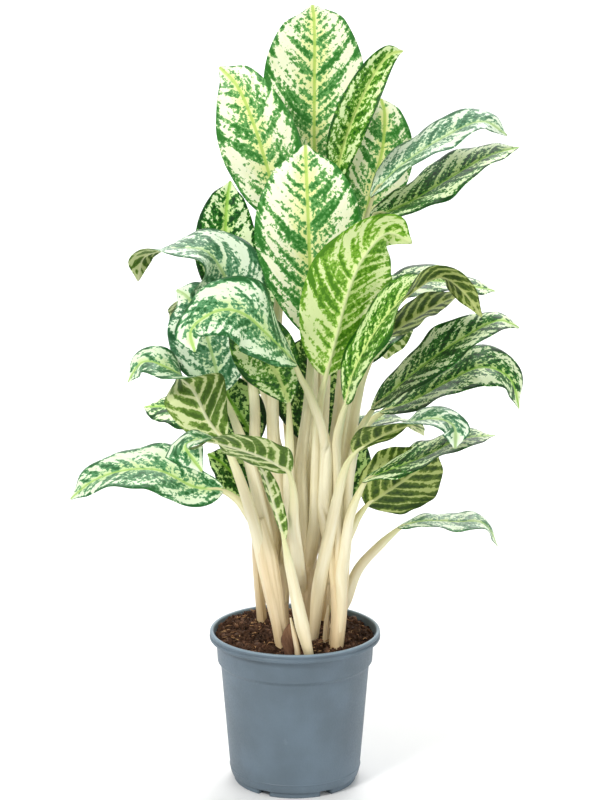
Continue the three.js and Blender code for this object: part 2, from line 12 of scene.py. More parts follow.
import bmesh
import bpy
import numpy as np
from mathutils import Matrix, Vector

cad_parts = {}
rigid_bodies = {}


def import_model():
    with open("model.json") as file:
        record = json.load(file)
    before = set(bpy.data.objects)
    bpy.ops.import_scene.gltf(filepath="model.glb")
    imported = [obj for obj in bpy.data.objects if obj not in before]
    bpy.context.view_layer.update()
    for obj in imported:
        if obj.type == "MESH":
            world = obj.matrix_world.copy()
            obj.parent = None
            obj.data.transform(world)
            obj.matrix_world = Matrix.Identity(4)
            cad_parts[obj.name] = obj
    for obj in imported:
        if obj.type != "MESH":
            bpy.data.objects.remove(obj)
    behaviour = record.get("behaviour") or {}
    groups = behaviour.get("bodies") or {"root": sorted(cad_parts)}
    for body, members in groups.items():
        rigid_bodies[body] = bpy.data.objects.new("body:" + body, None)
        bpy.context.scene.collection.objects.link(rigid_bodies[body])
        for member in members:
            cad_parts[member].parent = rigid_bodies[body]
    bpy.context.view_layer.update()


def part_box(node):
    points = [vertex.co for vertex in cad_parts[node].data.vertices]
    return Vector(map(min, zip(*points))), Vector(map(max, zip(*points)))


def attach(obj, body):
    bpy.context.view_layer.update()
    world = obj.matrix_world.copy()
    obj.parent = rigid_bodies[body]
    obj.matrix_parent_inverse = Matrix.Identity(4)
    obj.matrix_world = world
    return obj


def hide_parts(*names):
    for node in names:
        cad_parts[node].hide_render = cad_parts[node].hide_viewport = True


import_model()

MM = 0.001

# %% [markdown]
# Most pieces of a plant are swept shapes: a line in space with a section along it. Blender's own curves
# could carry them, but points worked out here can be read at any share of the length, so one smooth curve
# serves stems, petioles and the midribs of the blades.

# %% Smooth curves
CURVE_SAMPLES = 240


class SmoothCurve:
    """A curve through points, with place and direction at any share of its length."""

    def __init__(self, points):
        points = np.array(points, float)
        ends = np.vstack([2 * points[0] - points[1], points, 2 * points[-1] - points[-2]])
        spans = len(points) - 1
        place = np.linspace(0, spans, CURVE_SAMPLES + 1)
        index = np.minimum(place.astype(int), spans - 1)
        u = (place - index)[:, None]
        a, b, c, d = (ends[index + k] for k in range(4))
        bend, twist = 2 * a - 5 * b + 4 * c - d, 3 * b - a - 3 * c + d
        self.samples = 0.5 * (2 * b + (c - a) * u + bend * u**2 + twist * u**3)
        steps = np.linalg.norm(np.diff(self.samples, axis=0), axis=1)
        self.reach = np.concatenate([[0], np.cumsum(steps)])
        self.length = self.reach[-1]

    def at(self, t):
        wanted = np.asarray(t) * self.length
        return np.stack([np.interp(wanted, self.reach, self.samples[:, k]) for k in range(3)], -1)

    def heading(self, t):
        step = 0.004
        ahead = self.at(np.clip(np.asarray(t) + step, 0, 1))
        behind = self.at(np.clip(np.asarray(t) - step, 0, 1))
        return unit(ahead - behind)


def unit(vectors):
    return vectors / np.maximum(np.linalg.norm(vectors, axis=-1, keepdims=True), 1e-12)


def spread(values, t):
    """Values given at even steps from 0 to 1, read at t."""
    values = np.array(values, float)
    steps = np.linspace(0, 1, len(values))
    if values.ndim == 1:
        return np.interp(t, steps, values)
    return np.stack([np.interp(t, steps, values[:, k]) for k in range(values.shape[1])], -1)


def smooth_step(low, high, x):
    u = np.clip((np.asarray(x, float) - low) / (high - low), 0, 1)
    return u * u * (3 - 2 * u)


print("curve test: length of a 30 by 40 mm corner", round(SmoothCurve([[0, 0, 0], [30, 40, 0]]).length, 1))

# %% [markdown]
# A piece is collected as one or more closed skins of rings, each with its material and two sets of
# coordinates: one that says where a point is on the part, and one in millimetres that the patterns use.
# Keeping both as UV maps lets a pattern bend with a leaf, which a pattern fixed in space could not.

# %% Collect skins into a piece
class Skins:
    def __init__(self):
        self.points, self.faces, self.slots = [], [], []
        self.place, self.pattern = [], []
        self.count = 0

    def add(self, rings, place, pattern, slots, close_ends=True):
        """rings is (rows, columns, 3); slots gives the material of each column of faces."""
        rows, columns = rings.shape[:2]
        start = self.count
        self.points.append(rings.reshape(-1, 3))
        self.place.append(place.reshape(-1, 2))
        self.pattern.append(pattern.reshape(-1, 2))
        row, column = np.meshgrid(np.arange(rows - 1), np.arange(columns), indexing="ij")
        following = (column + 1) % columns
        corners = [row * columns + column, row * columns + following]
        corners += [(row + 1) * columns + following, (row + 1) * columns + column]
        self.faces += (np.stack(corners, -1).reshape(-1, 4) + start).tolist()
        self.slots += np.broadcast_to(slots, (rows - 1, columns)).ravel().tolist()
        if close_ends:
            self.faces.append([start + k for k in range(columns)][::-1])
            self.faces.append([start + (rows - 1) * columns + k for k in range(columns)])
            self.slots += [int(slots[-1])] * 2
        self.count += rows * columns

    def build(self, name, materials):
        mesh = bpy.data.meshes.new(name)
        mesh.from_pydata(np.concatenate(self.points).tolist(), [], self.faces)
        mesh.polygons.foreach_set("material_index", self.slots)
        mesh.polygons.foreach_set("use_smooth", [True] * len(self.faces))
        corner = np.empty(len(mesh.loops), int)
        mesh.loops.foreach_get("vertex_index", corner)
        for title, values in (("Place", self.place), ("Pattern", self.pattern)):
            layer = mesh.uv_layers.new(name=title)
            layer.data.foreach_set("uv", np.concatenate(values)[corner].astype(np.float32).ravel())
        for material in materials:
            mesh.materials.append(material)
        piece = bpy.data.objects.new(name, mesh)
        bpy.context.collection.objects.link(piece)
        return piece


def stand_for(piece, node):
    """Rides on the body and hides the plain solid."""
    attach(piece, "root")
    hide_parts(node)


print("a piece can hold", Skins.__name__)

# %% [markdown]
# Canes, petioles and fibres are all a ring of points carried along a curve. The ring's shape is a function
# of the angle and of the place along it, so ribs, grooves and laps are real relief that catches light at
# the outline too.

# %% Sweep a section along a curve
def add_tube(skins, curve, radii, rows, columns, slot, shape=None, up=(0.0, 0.0, 1.0), shift=0.0):
    """A skin swept along a curve. shape(angle, t) scales the radius; angle 0 looks along up."""
    t = np.linspace(0, 1, rows)
    heading = curve.heading(t)
    above = np.broadcast_to(np.array(up, float), heading.shape)
    side = unit(np.cross(heading, above) + 1e-9)
    above = unit(np.cross(side, heading))
    angle = np.linspace(0, 2 * math.pi, columns, endpoint=False)
    radius = spread(radii, t)[:, None] * np.ones(columns)
    if shape is not None:
        radius = radius * shape(angle[None], t[:, None])
    offset = above[:, None] * np.cos(angle)[None, :, None] + side[:, None] * np.sin(angle)[None, :, None]
    rings = (curve.at(t)[:, None] + offset * radius[..., None]) * MM
    place = np.stack(np.broadcast_arrays(angle[None] / (2 * math.pi), t[:, None]), -1)
    girth = spread(radii, t).max()
    pattern = np.stack(np.broadcast_arrays(t[:, None] * curve.length + shift, angle[None] * girth), -1)
    skins.add(rings, place, pattern, [slot] * columns)


print("sweep ready")

# %% [markdown]
# A skin that runs round to its own start has doubled points along the seam. Welding them makes one smooth
# surface. Meshes that are one thing on the real plant are then joined, so they are picked up as one.

# %% Weld and join
def weld(piece, distance=1e-6):
    """Merges points that lie together, and turns every face outwards."""
    body = bmesh.new()
    body.from_mesh(piece.data)
    bmesh.ops.remove_doubles(body, verts=body.verts, dist=distance)
    bmesh.ops.recalc_face_normals(body, faces=body.faces)
    body.to_mesh(piece.data)
    body.free()


def joined(pieces, name):
    """Several meshes as one piece."""
    for other in bpy.data.objects:
        other.select_set(other in pieces)
    bpy.context.view_layer.objects.active = pieces[0]
    bpy.ops.object.join()
    pieces[0].name = name
    pieces[0].select_set(False)
    return pieces[0]


print("weld and join ready")

# %% [markdown]
# ## Finishes
# Everything here is built from a few effects, so each one is a node group that is made once: feathered
# variegation for the blades, lengthwise ribs for stalks, and a fine mottle that any surface can use. Nodes
# could be placed by hand, but short helpers that add and link them keep each material readable.

# %% Helpers for nodes
def add_node(tree, kind, settings=None, **inputs):
    node = tree.nodes.new("ShaderNode" + kind)
    for name, value in (settings or {}).items():
        setattr(node, name, value)
    for name, value in inputs.items():
        feed(tree, node, name, value)
    return node


def feed(tree, node, name, value):
    """Sets an input, by its name with _ for blanks or by its number after in_, or links it."""
    socket = node.inputs[int(name[3:])] if name.startswith("in_") else node.inputs[name.replace("_", " ")]
    if isinstance(value, bpy.types.NodeSocket):
        tree.links.new(value, socket)
    else:
        socket.default_value = value


def maths(tree, operation, *values, clamp=False):
    inputs = {f"in_{k}": value for k, value in enumerate(values)}
    return add_node(tree, "Math", {"operation": operation, "use_clamp": clamp}, **inputs).outputs[0]


def remap(tree, value, low, high, to_low=0.0, to_high=1.0, smooth=True):
    settings = {"interpolation_type": "SMOOTHSTEP" if smooth else "LINEAR"}
    node = add_node(tree, "MapRange", settings, Value=value)
    for name, number in (("From Min", low), ("From Max", high), ("To Min", to_low), ("To Max", to_high)):
        node.inputs[name].default_value = number
    return node.outputs["Result"]


def blend_colours(tree, factor, first, second, mode="MIX"):
    node = add_node(tree, "Mix", {"data_type": "RGBA", "blend_type": mode})
    feed(tree, node, "in_0", factor)
    feed(tree, node, "in_6", first)
    feed(tree, node, "in_7", second)
    return node.outputs[2]


print("node helpers ready")

# %% [markdown]
# A group needs its sockets named before it can be used, and a material needs its Principled shader. Colours
# are written as they look on a screen and turned into light, because the shader counts in light.

# %% Helpers for groups and materials
def new_group(name, inputs, outputs):
    group = bpy.data.node_groups.new(name, "ShaderNodeTree")
    for title, kind, default in inputs:
        socket = group.interface.new_socket(title, in_out="INPUT", socket_type="NodeSocket" + kind)
        if default is not None:
            socket.default_value = default
    for title, kind in outputs:
        group.interface.new_socket(title, in_out="OUTPUT", socket_type="NodeSocket" + kind)
    return group, group.nodes.new("NodeGroupInput"), group.nodes.new("NodeGroupOutput")


def use_group(tree, group, **inputs):
    node = tree.nodes.new("ShaderNodeGroup")
    node.node_tree = group
    for name, value in inputs.items():
        feed(tree, node, name, value)
    return node


def new_material(name, **shader_inputs):
    material = bpy.data.materials.new(name)
    material.use_nodes = True
    tree = material.node_tree
    shader = tree.nodes["Principled BSDF"]
    for title, value in shader_inputs.items():
        feed(tree, shader, title, value)
    return material, tree, shader


def colour(red, green, blue):
    """A colour given as it looks on a screen, turned into light."""
    def light(value):
        value /= 255
        return value / 12.92 if value <= 0.04045 else ((value + 0.055) / 1.055) ** 2.4
    return (light(red), light(green), light(blue), 1.0)


print("middle grey as light:", round(colour(128, 128, 128)[0], 3))

# %% [markdown]
# The mottle is a slow cloud and a fine grain. It keeps a moulded or grown surface from looking painted.
# One noise could do both, but two can be mixed in different shares on plastic, soil and floor.

# %% Node group: mottle
def make_mottle():
    group, given, result = new_group(
        "Fine mottle",
        [("Place", "Vector", None), ("Cloud Size", "Float", 30.0), ("Grain Size", "Float", 400.0)],
        [("Cloud", "Float"), ("Grain", "Float")],
    )
    for title, size, detail in (("Cloud", "Cloud Size", 3.0), ("Grain", "Grain Size", 4.0)):
        noise = add_node(
            group, "TexNoise", Vector=given.outputs["Place"], Scale=given.outputs[size], Detail=detail)
        group.links.new(remap(group, noise.outputs["Fac"], 0.3, 0.7), result.inputs[title])
    return group


MOTTLE = make_mottle()
print("node group", MOTTLE.name)

# %% [markdown]
# ### Variegation
# On the real blade broad cream bands run outwards along the side veins. Between them the tissue is green
# and broken up by many cream flecks. A cream loop runs along the inside of the margin, and the margin and
# the heart of each green patch are solid green. A painted image could show that on one leaf. Here every
# leaf differs, so the pattern is made by noise: one of the pattern coordinates is constant along a side
# vein, so noise stretched that way gives the bands, and fine noise breaks them into ragged flecks. The
# group puts out masks only, so each kind of leaf colours them itself.

# %% Node group: variegation
VEIN_SPACING = 13.0
VEIN_SLANT = 0.62
VEIN_BOW = 0.012


def make_variegation():
    group, given, result = new_group(
        "Flecked variegation",
        [
            ("Greenness", "Float", 0.5), ("Band Strength", "Float", 0.5), ("Fleck Strength", "Float", 1.5),
            ("Vein Strength", "Float", 0.1), ("Margin Start", "Float", 0.84),
        ],
        [
            ("Field", "Float"), ("Midrib", "Float"), ("Tone", "Float"), ("Fleck", "Float"),
            ("Height", "Float"),
        ],
    )

    def scaled(value, weight):
        return maths(group, "MULTIPLY", value, weight)

    pattern = add_node(group, "UVMap", {"uv_map": "Pattern"}).outputs["UV"]
    place = add_node(group, "UVMap", {"uv_map": "Place"}).outputs["UV"]
    vein, across = (add_node(group, "SeparateXYZ", Vector=pattern).outputs[k] for k in range(2))
    side, rise = (add_node(group, "SeparateXYZ", Vector=place).outputs[k] for k in range(2))
    offset = maths(group, "ABSOLUTE", maths(group, "SUBTRACT", scaled(side, 2.0), 1.0))

    reach = maths(group, "ABSOLUTE", across)
    bow = maths(group, "ADD", scaled(reach, VEIN_BOW), VEIN_SLANT)
    arch = scaled(reach, bow)
    along = maths(group, "ADD", vein, arch)

    def noise(vein_size, across_size, detail, rough, line=vein):
        """Noise whose features are vein_size mm wide across a side vein and across_size mm long."""
        x, y = maths(group, "DIVIDE", line, vein_size), maths(group, "DIVIDE", across, across_size)
        stretched = add_node(group, "CombineXYZ", X=x, Y=y).outputs[0]
        made = add_node(group, "TexNoise", Vector=stretched, Scale=1.0, Detail=detail, Roughness=rough)
        return maths(group, "SUBTRACT", made.outputs["Fac"], 0.5)

    # bands of cream and green along the side veins, broken by patches and flecks
    wide_bands = noise(11.0, 70.0, 1.0, 0.5)
    thin_bands = noise(4.6, 26.0, 2.0, 0.6)
    patches = noise(9.0, 13.0, 3.0, 0.65)
    flecks = noise(3.6, 3.6, 3.0, 0.62, along)
    wide_part = scaled(wide_bands, 1.7)
    thin_part = scaled(thin_bands, 0.7)
    bands = maths(group, "ADD", wide_part, thin_part)
    field = scaled(bands, given.outputs["Band Strength"])
    field = maths(group, "ADD", field, scaled(patches, 0.45))
    field = maths(group, "ADD", field, scaled(flecks, given.outputs["Fleck Strength"]))
    # the tissue between two side veins stands up as a low ridge, and is greener
    wave = maths(group, "SINE", scaled(vein, math.pi / VEIN_SPACING))
    ridge = maths(group, "POWER", maths(group, "ABSOLUTE", wave), 0.5)
    veins = scaled(maths(group, "SUBTRACT", ridge, 0.75), given.outputs["Vein Strength"])
    field = maths(group, "ADD", field, veins)
    # the cream loop inside the margin, the green margin, and the cream heart and tip
    wander = maths(group, "ADD", offset, scaled(patches, 0.35))
    loop = scaled(remap(group, wander, 0.5, 0.66), remap(group, wander, 0.9, 0.76))
    margin = add_node(group, "MapRange", {"interpolation_type": "SMOOTHSTEP"}, Value=wander)
    feed(group, margin, "From_Min", given.outputs["Margin Start"])
    feed(group, margin, "From_Max", maths(group, "ADD", given.outputs["Margin Start"], 0.12))
    heart = remap(group, maths(group, "ABSOLUTE", across), 5.0, 1.5)
    tip = remap(group, rise, 0.84, 0.97)
    field = maths(group, "SUBTRACT", field, scaled(loop, 0.18))
    field = maths(group, "SUBTRACT", field, scaled(heart, 0.14))
    field = maths(group, "SUBTRACT", field, scaled(tip, 0.14))
    field = maths(group, "ADD", field, scaled(margin.outputs["Result"], 0.22))
    field = maths(group, "ADD", field, maths(group, "SUBTRACT", given.outputs["Greenness"], 0.5))
    # what the materials need besides the field
    midrib = remap(group, maths(group, "ABSOLUTE", across), 0.8, 2.2, 1.0, 0.0)
    height = maths(group, "ADD", ridge, scaled(flecks, 0.6))
    near = remap(group, offset, 0.55, 0.05)
    tone = maths(group, "ADD", near, scaled(patches, 1.6), clamp=True)
    outputs = (("Field", field), ("Midrib", midrib), ("Tone", tone), ("Fleck", flecks), ("Height", height))
    for title, value in outputs:
        group.links.new(value, result.inputs[title])
    return group


VARIEGATION = make_variegation()
print("node group", VARIEGATION.name)

# %% [markdown]
# Two kinds of material use it: the upper surface, with crisp flecks and a lime midrib, and the underside,
# where the bands show through softer and yellower beside a thick cream midrib. Each is a walk through four
# colours as the field rises: cream, pale green, leaf green and deep green, with lime in the cream near the
# midrib. A colour ramp could do it too, but separate steps let each edge be as crisp as the real one.

# %% Material of a blade
def blade_material(name, look):
    """look holds the colours from deep green to cream, and the numbers of the variegation."""
    material, tree, shader = new_material(name)
    numbers = {key: look[key] for key in look if key[0].isupper()}
    out = use_group(tree, VARIEGATION, **numbers).outputs
    soft, rough = look.get("soft", 0.0), look.get("rough", 0.4)
    surface = blend_colours(tree, maths(tree, "MULTIPLY", out["Tone"], 0.75), look["cream"], look["lime"])
    surface = blend_colours(tree, remap(tree, out["Field"], -0.04 - soft, -0.01), surface, look["pale"])
    surface = blend_colours(tree, remap(tree, out["Field"], -0.005, 0.035 + soft), surface, look["mid"])
    surface = blend_colours(tree, remap(tree, out["Field"], 0.1, 0.3 + soft), surface, look["deep"])
    surface = blend_colours(tree, maths(tree, "MULTIPLY", out["Midrib"], 0.9), surface, look["midrib"])
    tree.links.new(surface, shader.inputs["Base Color"])
    uneven = remap(tree, out["Fleck"], -0.3, 0.3, rough - 0.05, rough + 0.07)
    tree.links.new(uneven, shader.inputs["Roughness"])
    relief = add_node(tree, "Bump", Height=out["Height"], Strength=0.14, Distance=0.0008)
    tree.links.new(relief.outputs["Normal"], shader.inputs["Normal"])
    shader.inputs["Specular IOR Level"].default_value = 0.28
    return material


print("blade material ready")

# %% [markdown]
# The same leaf looks warm near the lamps, bluish where it mirrors the sky and dull deep in the clump, and
# young leaves are a fresher green. So the upper side comes in six looks, with that light and shade painted
# into the colours: painted lamp light on the crown, painted sky reflection in the bluish and pale looks,
# painted shade deep in the clump, and the plain and fresh greens.

# %% Upper sides
UPPER = {
    # painted lamp light: a brighter copy of the leaf colours for the crown leaves nearest the lamps
    "crown": blade_material("leaf upper, painted lamp light", dict(
        deep=colour(44, 116, 36), mid=colour(98, 160, 84), pale=colour(172, 208, 128),
        cream=colour(244, 246, 216), lime=colour(228, 234, 134), midrib=colour(176, 206, 96),
        Greenness=0.555, Band_Strength=0.85, Fleck_Strength=1.5, Vein_Strength=0.16, Margin_Start=0.82)),
    "leaf": blade_material("leaf upper", dict(
        deep=colour(2, 62, 6), mid=colour(44, 118, 34), pale=colour(122, 182, 86),
        cream=colour(236, 250, 206), lime=colour(196, 228, 112), midrib=colour(156, 206, 84),
        Greenness=0.59, Band_Strength=0.75, Fleck_Strength=1.4, Vein_Strength=0.14, Margin_Start=0.8)),
    "fresh": blade_material("leaf upper, fresh", dict(
        deep=colour(22, 82, 8), mid=colour(88, 146, 40), pale=colour(150, 192, 92),
        cream=colour(224, 240, 182), lime=colour(206, 228, 120), midrib=colour(206, 224, 140),
        Greenness=0.6, Band_Strength=0.6, Fleck_Strength=1.4, Vein_Strength=0.14, Margin_Start=0.8)),
    "bluish": blade_material("leaf upper, sky lit", dict(
        deep=colour(36, 98, 46), mid=colour(90, 150, 98), pale=colour(158, 202, 148),
        cream=colour(232, 247, 216), lime=colour(196, 222, 134), midrib=colour(168, 206, 108),
        Greenness=0.575, Band_Strength=0.7, Fleck_Strength=1.4, Vein_Strength=0.14, Margin_Start=0.8,
        rough=0.34)),
    # painted sky reflection: a paler, bluer copy of the leaf colours for leaves whose gloss mirrors the sky
    "pale_sheen": blade_material("leaf upper, painted pale sheen", dict(
        deep=colour(44, 100, 60), mid=colour(92, 144, 104), pale=colour(160, 198, 156),
        cream=colour(232, 247, 222), lime=colour(204, 226, 168), midrib=colour(170, 202, 132),
        Greenness=0.575, Band_Strength=0.7, Fleck_Strength=1.4, Vein_Strength=0.12, Margin_Start=0.82,
        rough=0.34)),
    # painted shade: a darker copy of the leaf colours for leaves deep in the clump
    "dark": blade_material("leaf upper, painted shade", dict(
        deep=colour(7, 46, 3), mid=colour(34, 88, 20), pale=colour(90, 138, 58),
        cream=colour(190, 220, 140), lime=colour(150, 190, 84), midrib=colour(110, 164, 40),
        Greenness=0.6, Band_Strength=0.5, Fleck_Strength=1.5, Vein_Strength=0.1, Margin_Start=0.8)),
}
print(len(UPPER), "looks for upper sides")

# %% [markdown]
# The underside has little gloss. Its side veins are thick and pale, with a green stripe between each
# two, so the vein part of the pattern is strong here and the flecks are weak.

# %% Undersides
UNDER = {
    "leaf": blade_material("leaf underside", dict(
        deep=colour(64, 96, 20), mid=colour(96, 130, 44), pale=colour(146, 172, 88),
        cream=colour(208, 218, 160), lime=colour(214, 218, 160), midrib=colour(224, 226, 184),
        Greenness=0.62, Band_Strength=0.55, Fleck_Strength=0.8, Vein_Strength=0.6, Margin_Start=0.95,
        soft=0.03, rough=0.5)),
    "lime": blade_material("leaf underside, lit", dict(
        deep=colour(74, 130, 14), mid=colour(126, 178, 52), pale=colour(184, 216, 112),
        cream=colour(228, 241, 178), lime=colour(224, 238, 160), midrib=colour(228, 238, 178),
        Greenness=0.585, Band_Strength=0.8, Fleck_Strength=1.3, Vein_Strength=0.34, Margin_Start=0.86,
        soft=0.03, rough=0.46)),
    # painted shade: a darker copy of the underside colours for undersides turned away from the lamps and
    # leaves deep in the clump
    "dark": blade_material("leaf underside, painted shade", dict(
        deep=colour(40, 66, 8), mid=colour(78, 104, 28), pale=colour(116, 136, 56),
        cream=colour(172, 186, 110), lime=colour(172, 182, 104), midrib=colour(184, 194, 124),
        Greenness=0.64, Band_Strength=0.5, Fleck_Strength=0.8, Vein_Strength=0.6, Margin_Start=0.95,
        soft=0.03, rough=0.5)),
}
print(len(UNDER), "looks for undersides")

# %% [markdown]
# ### Stalks
# Petioles and canes are smooth and cream, with fine lengthwise ribs, a beige foot and a green flush near
# the blade. One group makes the ribs and streaks from noise drawn out along the stalk, which costs far
# less than modelling each rib.

# %% Node group: ribs
def make_ribs():
    group, given, result = new_group(
        "Lengthwise ribs",
        [("Rib Width", "Float", 1.4), ("Streak Length", "Float", 60.0)],
        [("Ribs", "Float"), ("Streaks", "Float"), ("Rise", "Float")],
    )
    pattern = add_node(group, "UVMap", {"uv_map": "Pattern"}).outputs["UV"]
    place = add_node(group, "UVMap", {"uv_map": "Place"}).outputs["UV"]
    length, around = (add_node(group, "SeparateXYZ", Vector=pattern).outputs[k] for k in range(2))
    long_place = maths(group, "DIVIDE", length, given.outputs["Streak Length"])
    thin_place = maths(group, "DIVIDE", around, given.outputs["Rib Width"])
    drawn = add_node(group, "CombineXYZ", X=long_place, Y=thin_place).outputs[0]
    ribs = add_node(group, "TexNoise", Vector=drawn, Scale=1.0, Detail=2.0)
    wide_place = maths(group, "MULTIPLY", thin_place, 0.25)
    wide = add_node(group, "CombineXYZ", X=long_place, Y=wide_place).outputs[0]
    streaks = add_node(group, "TexNoise", Vector=wide, Scale=1.0, Detail=3.0)
    group.links.new(remap(group, ribs.outputs["Fac"], 0.35, 0.65), result.inputs["Ribs"])
    group.links.new(remap(group, streaks.outputs["Fac"], 0.35, 0.65), result.inputs["Streaks"])
    group.links.new(add_node(group, "SeparateXYZ", Vector=place).outputs[1], result.inputs["Rise"])
    return group


RIBS = make_ribs()
print("node group", RIBS.name)

# %% [markdown]
# One material function uses the ribs for fresh and for dry tissue: only its four colours, the depth of the
# ribs and the gloss change.

# %% Materials of the stalks
def stalk_material(name, foot, middle, top, streak, rib_depth=0.25, rough=0.5):
    """Colours from foot to top, with streaks drawn out lengthwise."""
    material, tree, shader = new_material(name)
    out = use_group(tree, RIBS).outputs
    body = blend_colours(tree, remap(tree, out["Rise"], 0.0, 0.45), foot, middle)
    body = blend_colours(tree, remap(tree, out["Rise"], 0.6, 1.0), body, top)
    body = blend_colours(tree, maths(tree, "MULTIPLY", out["Streaks"], 0.4), body, streak)
    body = blend_colours(tree, maths(tree, "MULTIPLY", out["Ribs"], 0.14), body, foot)
    tree.links.new(body, shader.inputs["Base Color"])
    uneven = remap(tree, out["Streaks"], 0, 1, rough - 0.05, rough + 0.08)
    tree.links.new(uneven, shader.inputs["Roughness"])
    relief = add_node(tree, "Bump", Height=out["Ribs"], Strength=rib_depth, Distance=0.0006)
    tree.links.new(relief.outputs["Normal"], shader.inputs["Normal"])
    return material


STALK = stalk_material(
    "petiole", colour(232, 214, 174), colour(240, 234, 204), colour(220, 226, 168), colour(216, 200, 148))
SHADED_STALK = stalk_material(
    "petiole, shaded", colour(196, 180, 124), colour(198, 196, 142), colour(150, 168, 92),
    colour(168, 164, 98))
CANE = stalk_material(
    "cane", colour(220, 192, 146), colour(232, 214, 178), colour(236, 228, 196), colour(204, 178, 124),
    rib_depth=0.35)
DRY = stalk_material(
    "dry sheath", colour(66, 42, 28), colour(112, 78, 54), colour(150, 112, 80), colour(88, 58, 42),
    rib_depth=0.9, rough=0.85)
print("stalk materials", STALK.name, SHADED_STALK.name, CANE.name, DRY.name)

# %% [markdown]
# ## The pot
# A nursery pot is one thin moulding. Its box comes from the construction model, and the other sizes are
# steps in from the rim, so the pot keeps its proportions if the rim changes.

# %% Sizes of the pot
POT_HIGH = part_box("pot")[1]
POT_TOP = POT_HIGH[2] / MM
RIM = POT_HIGH[1] / MM
FLOOR = 6.0
BAND = RIM - 6.5
SHOULDER_Z = POT_TOP - 31
BODY_TOP = RIM - 11
BODY_FOOT = RIM - 19.8
WALL = 2.0
FOOT_COUNT = 6
DRAIN_COUNT = 6
DRAIN_RING = 42.0
DRAIN_RADIUS = 5.0
ROUND = 144
print("rim radius and height in mm", round(RIM, 1), round(POT_TOP, 1))

# %% [markdown]
# The wall is one closed outline turned about the axis: up the outside with its foot radius, a faint seam
# ring, the shoulder, the band and the rolled double lip, and down the inside. A bevel could round the
# corners afterwards, but rounding the outline first keeps the mesh even.

# %% Outline of the wall
def rounded(points, radius, steps=4):
    """An outline with each inner corner cut back by radius and bent through a short curve."""
    points = np.array(points, float)
    result = [points[0]]
    for before, corner, after in zip(points, points[1:], points[2:]):
        to_before, to_after = before - corner, after - corner
        cut = min(radius, 0.45 * np.linalg.norm(to_before), 0.45 * np.linalg.norm(to_after))
        start, end = corner + cut * unit(to_before), corner + cut * unit(to_after)
        for u in np.linspace(0, 1, steps):
            result.append((1 - u) ** 2 * start + 2 * u * (1 - u) * corner + u * u * end)
    return np.array(result + [points[-1]])


def pot_outline():
    lip_z = POT_TOP - 8.5
    outer = [
        [BODY_FOOT - 8, FLOOR], [BODY_FOOT - 1.5, FLOOR], [BODY_FOOT - 0.1, FLOOR + 5],
        [BODY_FOOT + 0.1, FLOOR + 8.0], [BODY_FOOT + 0.9, FLOOR + 8.7], [BODY_FOOT + 0.3, FLOOR + 9.4],
        [BODY_TOP, SHOULDER_Z - 4], [BODY_TOP + 0.4, SHOULDER_Z - 3], [BODY_TOP + 3.2, SHOULDER_Z],
        [BAND, lip_z], [BAND + 0.8, lip_z + 0.3], [RIM - 1.0, lip_z], [RIM - 0.1, lip_z + 0.9],
        [RIM, lip_z + 3.4], [RIM - 1.0, lip_z + 4.3], [RIM - 0.9, lip_z + 4.8], [RIM - 0.3, lip_z + 5.6],
        [RIM - 0.5, POT_TOP - 0.9], [RIM - 1.4, POT_TOP], [RIM - 3.2, POT_TOP], [RIM - 4, POT_TOP - 1],
    ]
    inner = [
        [BAND - WALL + 1.2, lip_z - 2], [BODY_TOP - WALL + 2.6, SHOULDER_Z],
        [BODY_TOP - WALL, SHOULDER_Z - 6], [BODY_FOOT - WALL, FLOOR + WALL + 5],
        [BODY_FOOT - WALL - 2.5, FLOOR + WALL], [BODY_FOOT - 8, FLOOR + WALL],
    ]
    return rounded(outer + inner, 0.7)


print("the outline has", len(pot_outline()), "points")

# %% [markdown]
# The plastic is a blue grey with a satin finish. It is a little clouded, has a painted highlight along the
# top of the lip, and has small pale scuffs.

# %% Plastic of the pot
def pot_material():
    material, tree, shader = new_material("moulded plastic, blue grey")
    place = add_node(tree, "TexCoord").outputs["Object"]
    mottle = use_group(tree, MOTTLE, Place=place, Cloud_Size=22.0, Grain_Size=520.0).outputs
    body = blend_colours(tree, mottle["Cloud"], colour(88, 103, 114), colour(98, 115, 128))
    height = add_node(tree, "SeparateXYZ", Vector=place).outputs[2]
    # painted highlight: the top of the lip is lightened where the lamps catch it
    lip_highlight = remap(tree, height, (POT_TOP - 2.2) * MM, (POT_TOP - 0.4) * MM)
    body = blend_colours(tree, maths(tree, "MULTIPLY", lip_highlight, 0.6), body, colour(146, 168, 184))
    scuffs = add_node(tree, "TexNoise", Vector=place, Scale=60.0, Detail=6.0, Roughness=0.75)
    worn = remap(tree, scuffs.outputs["Fac"], 0.6, 0.78, 0, 0.35)
    body = blend_colours(tree, worn, body, colour(122, 138, 148))
    tree.links.new(body, shader.inputs["Base Color"])
    tree.links.new(remap(tree, mottle["Grain"], 0, 1, 0.42, 0.56), shader.inputs["Roughness"])
    relief = add_node(tree, "Bump", Height=mottle["Grain"], Strength=0.18, Distance=0.0003)
    tree.links.new(relief.outputs["Normal"], shader.inputs["Normal"])
    return material


PLASTIC = pot_material()
print("material", PLASTIC.name)

# %% [markdown]
# Turning the outline gives the wall. The feet are short stretches of a ring, and the floor is a plate with
# drain holes: its outlines are filled as one flat face and then thickened, which leaves clean holes without
# a boolean.

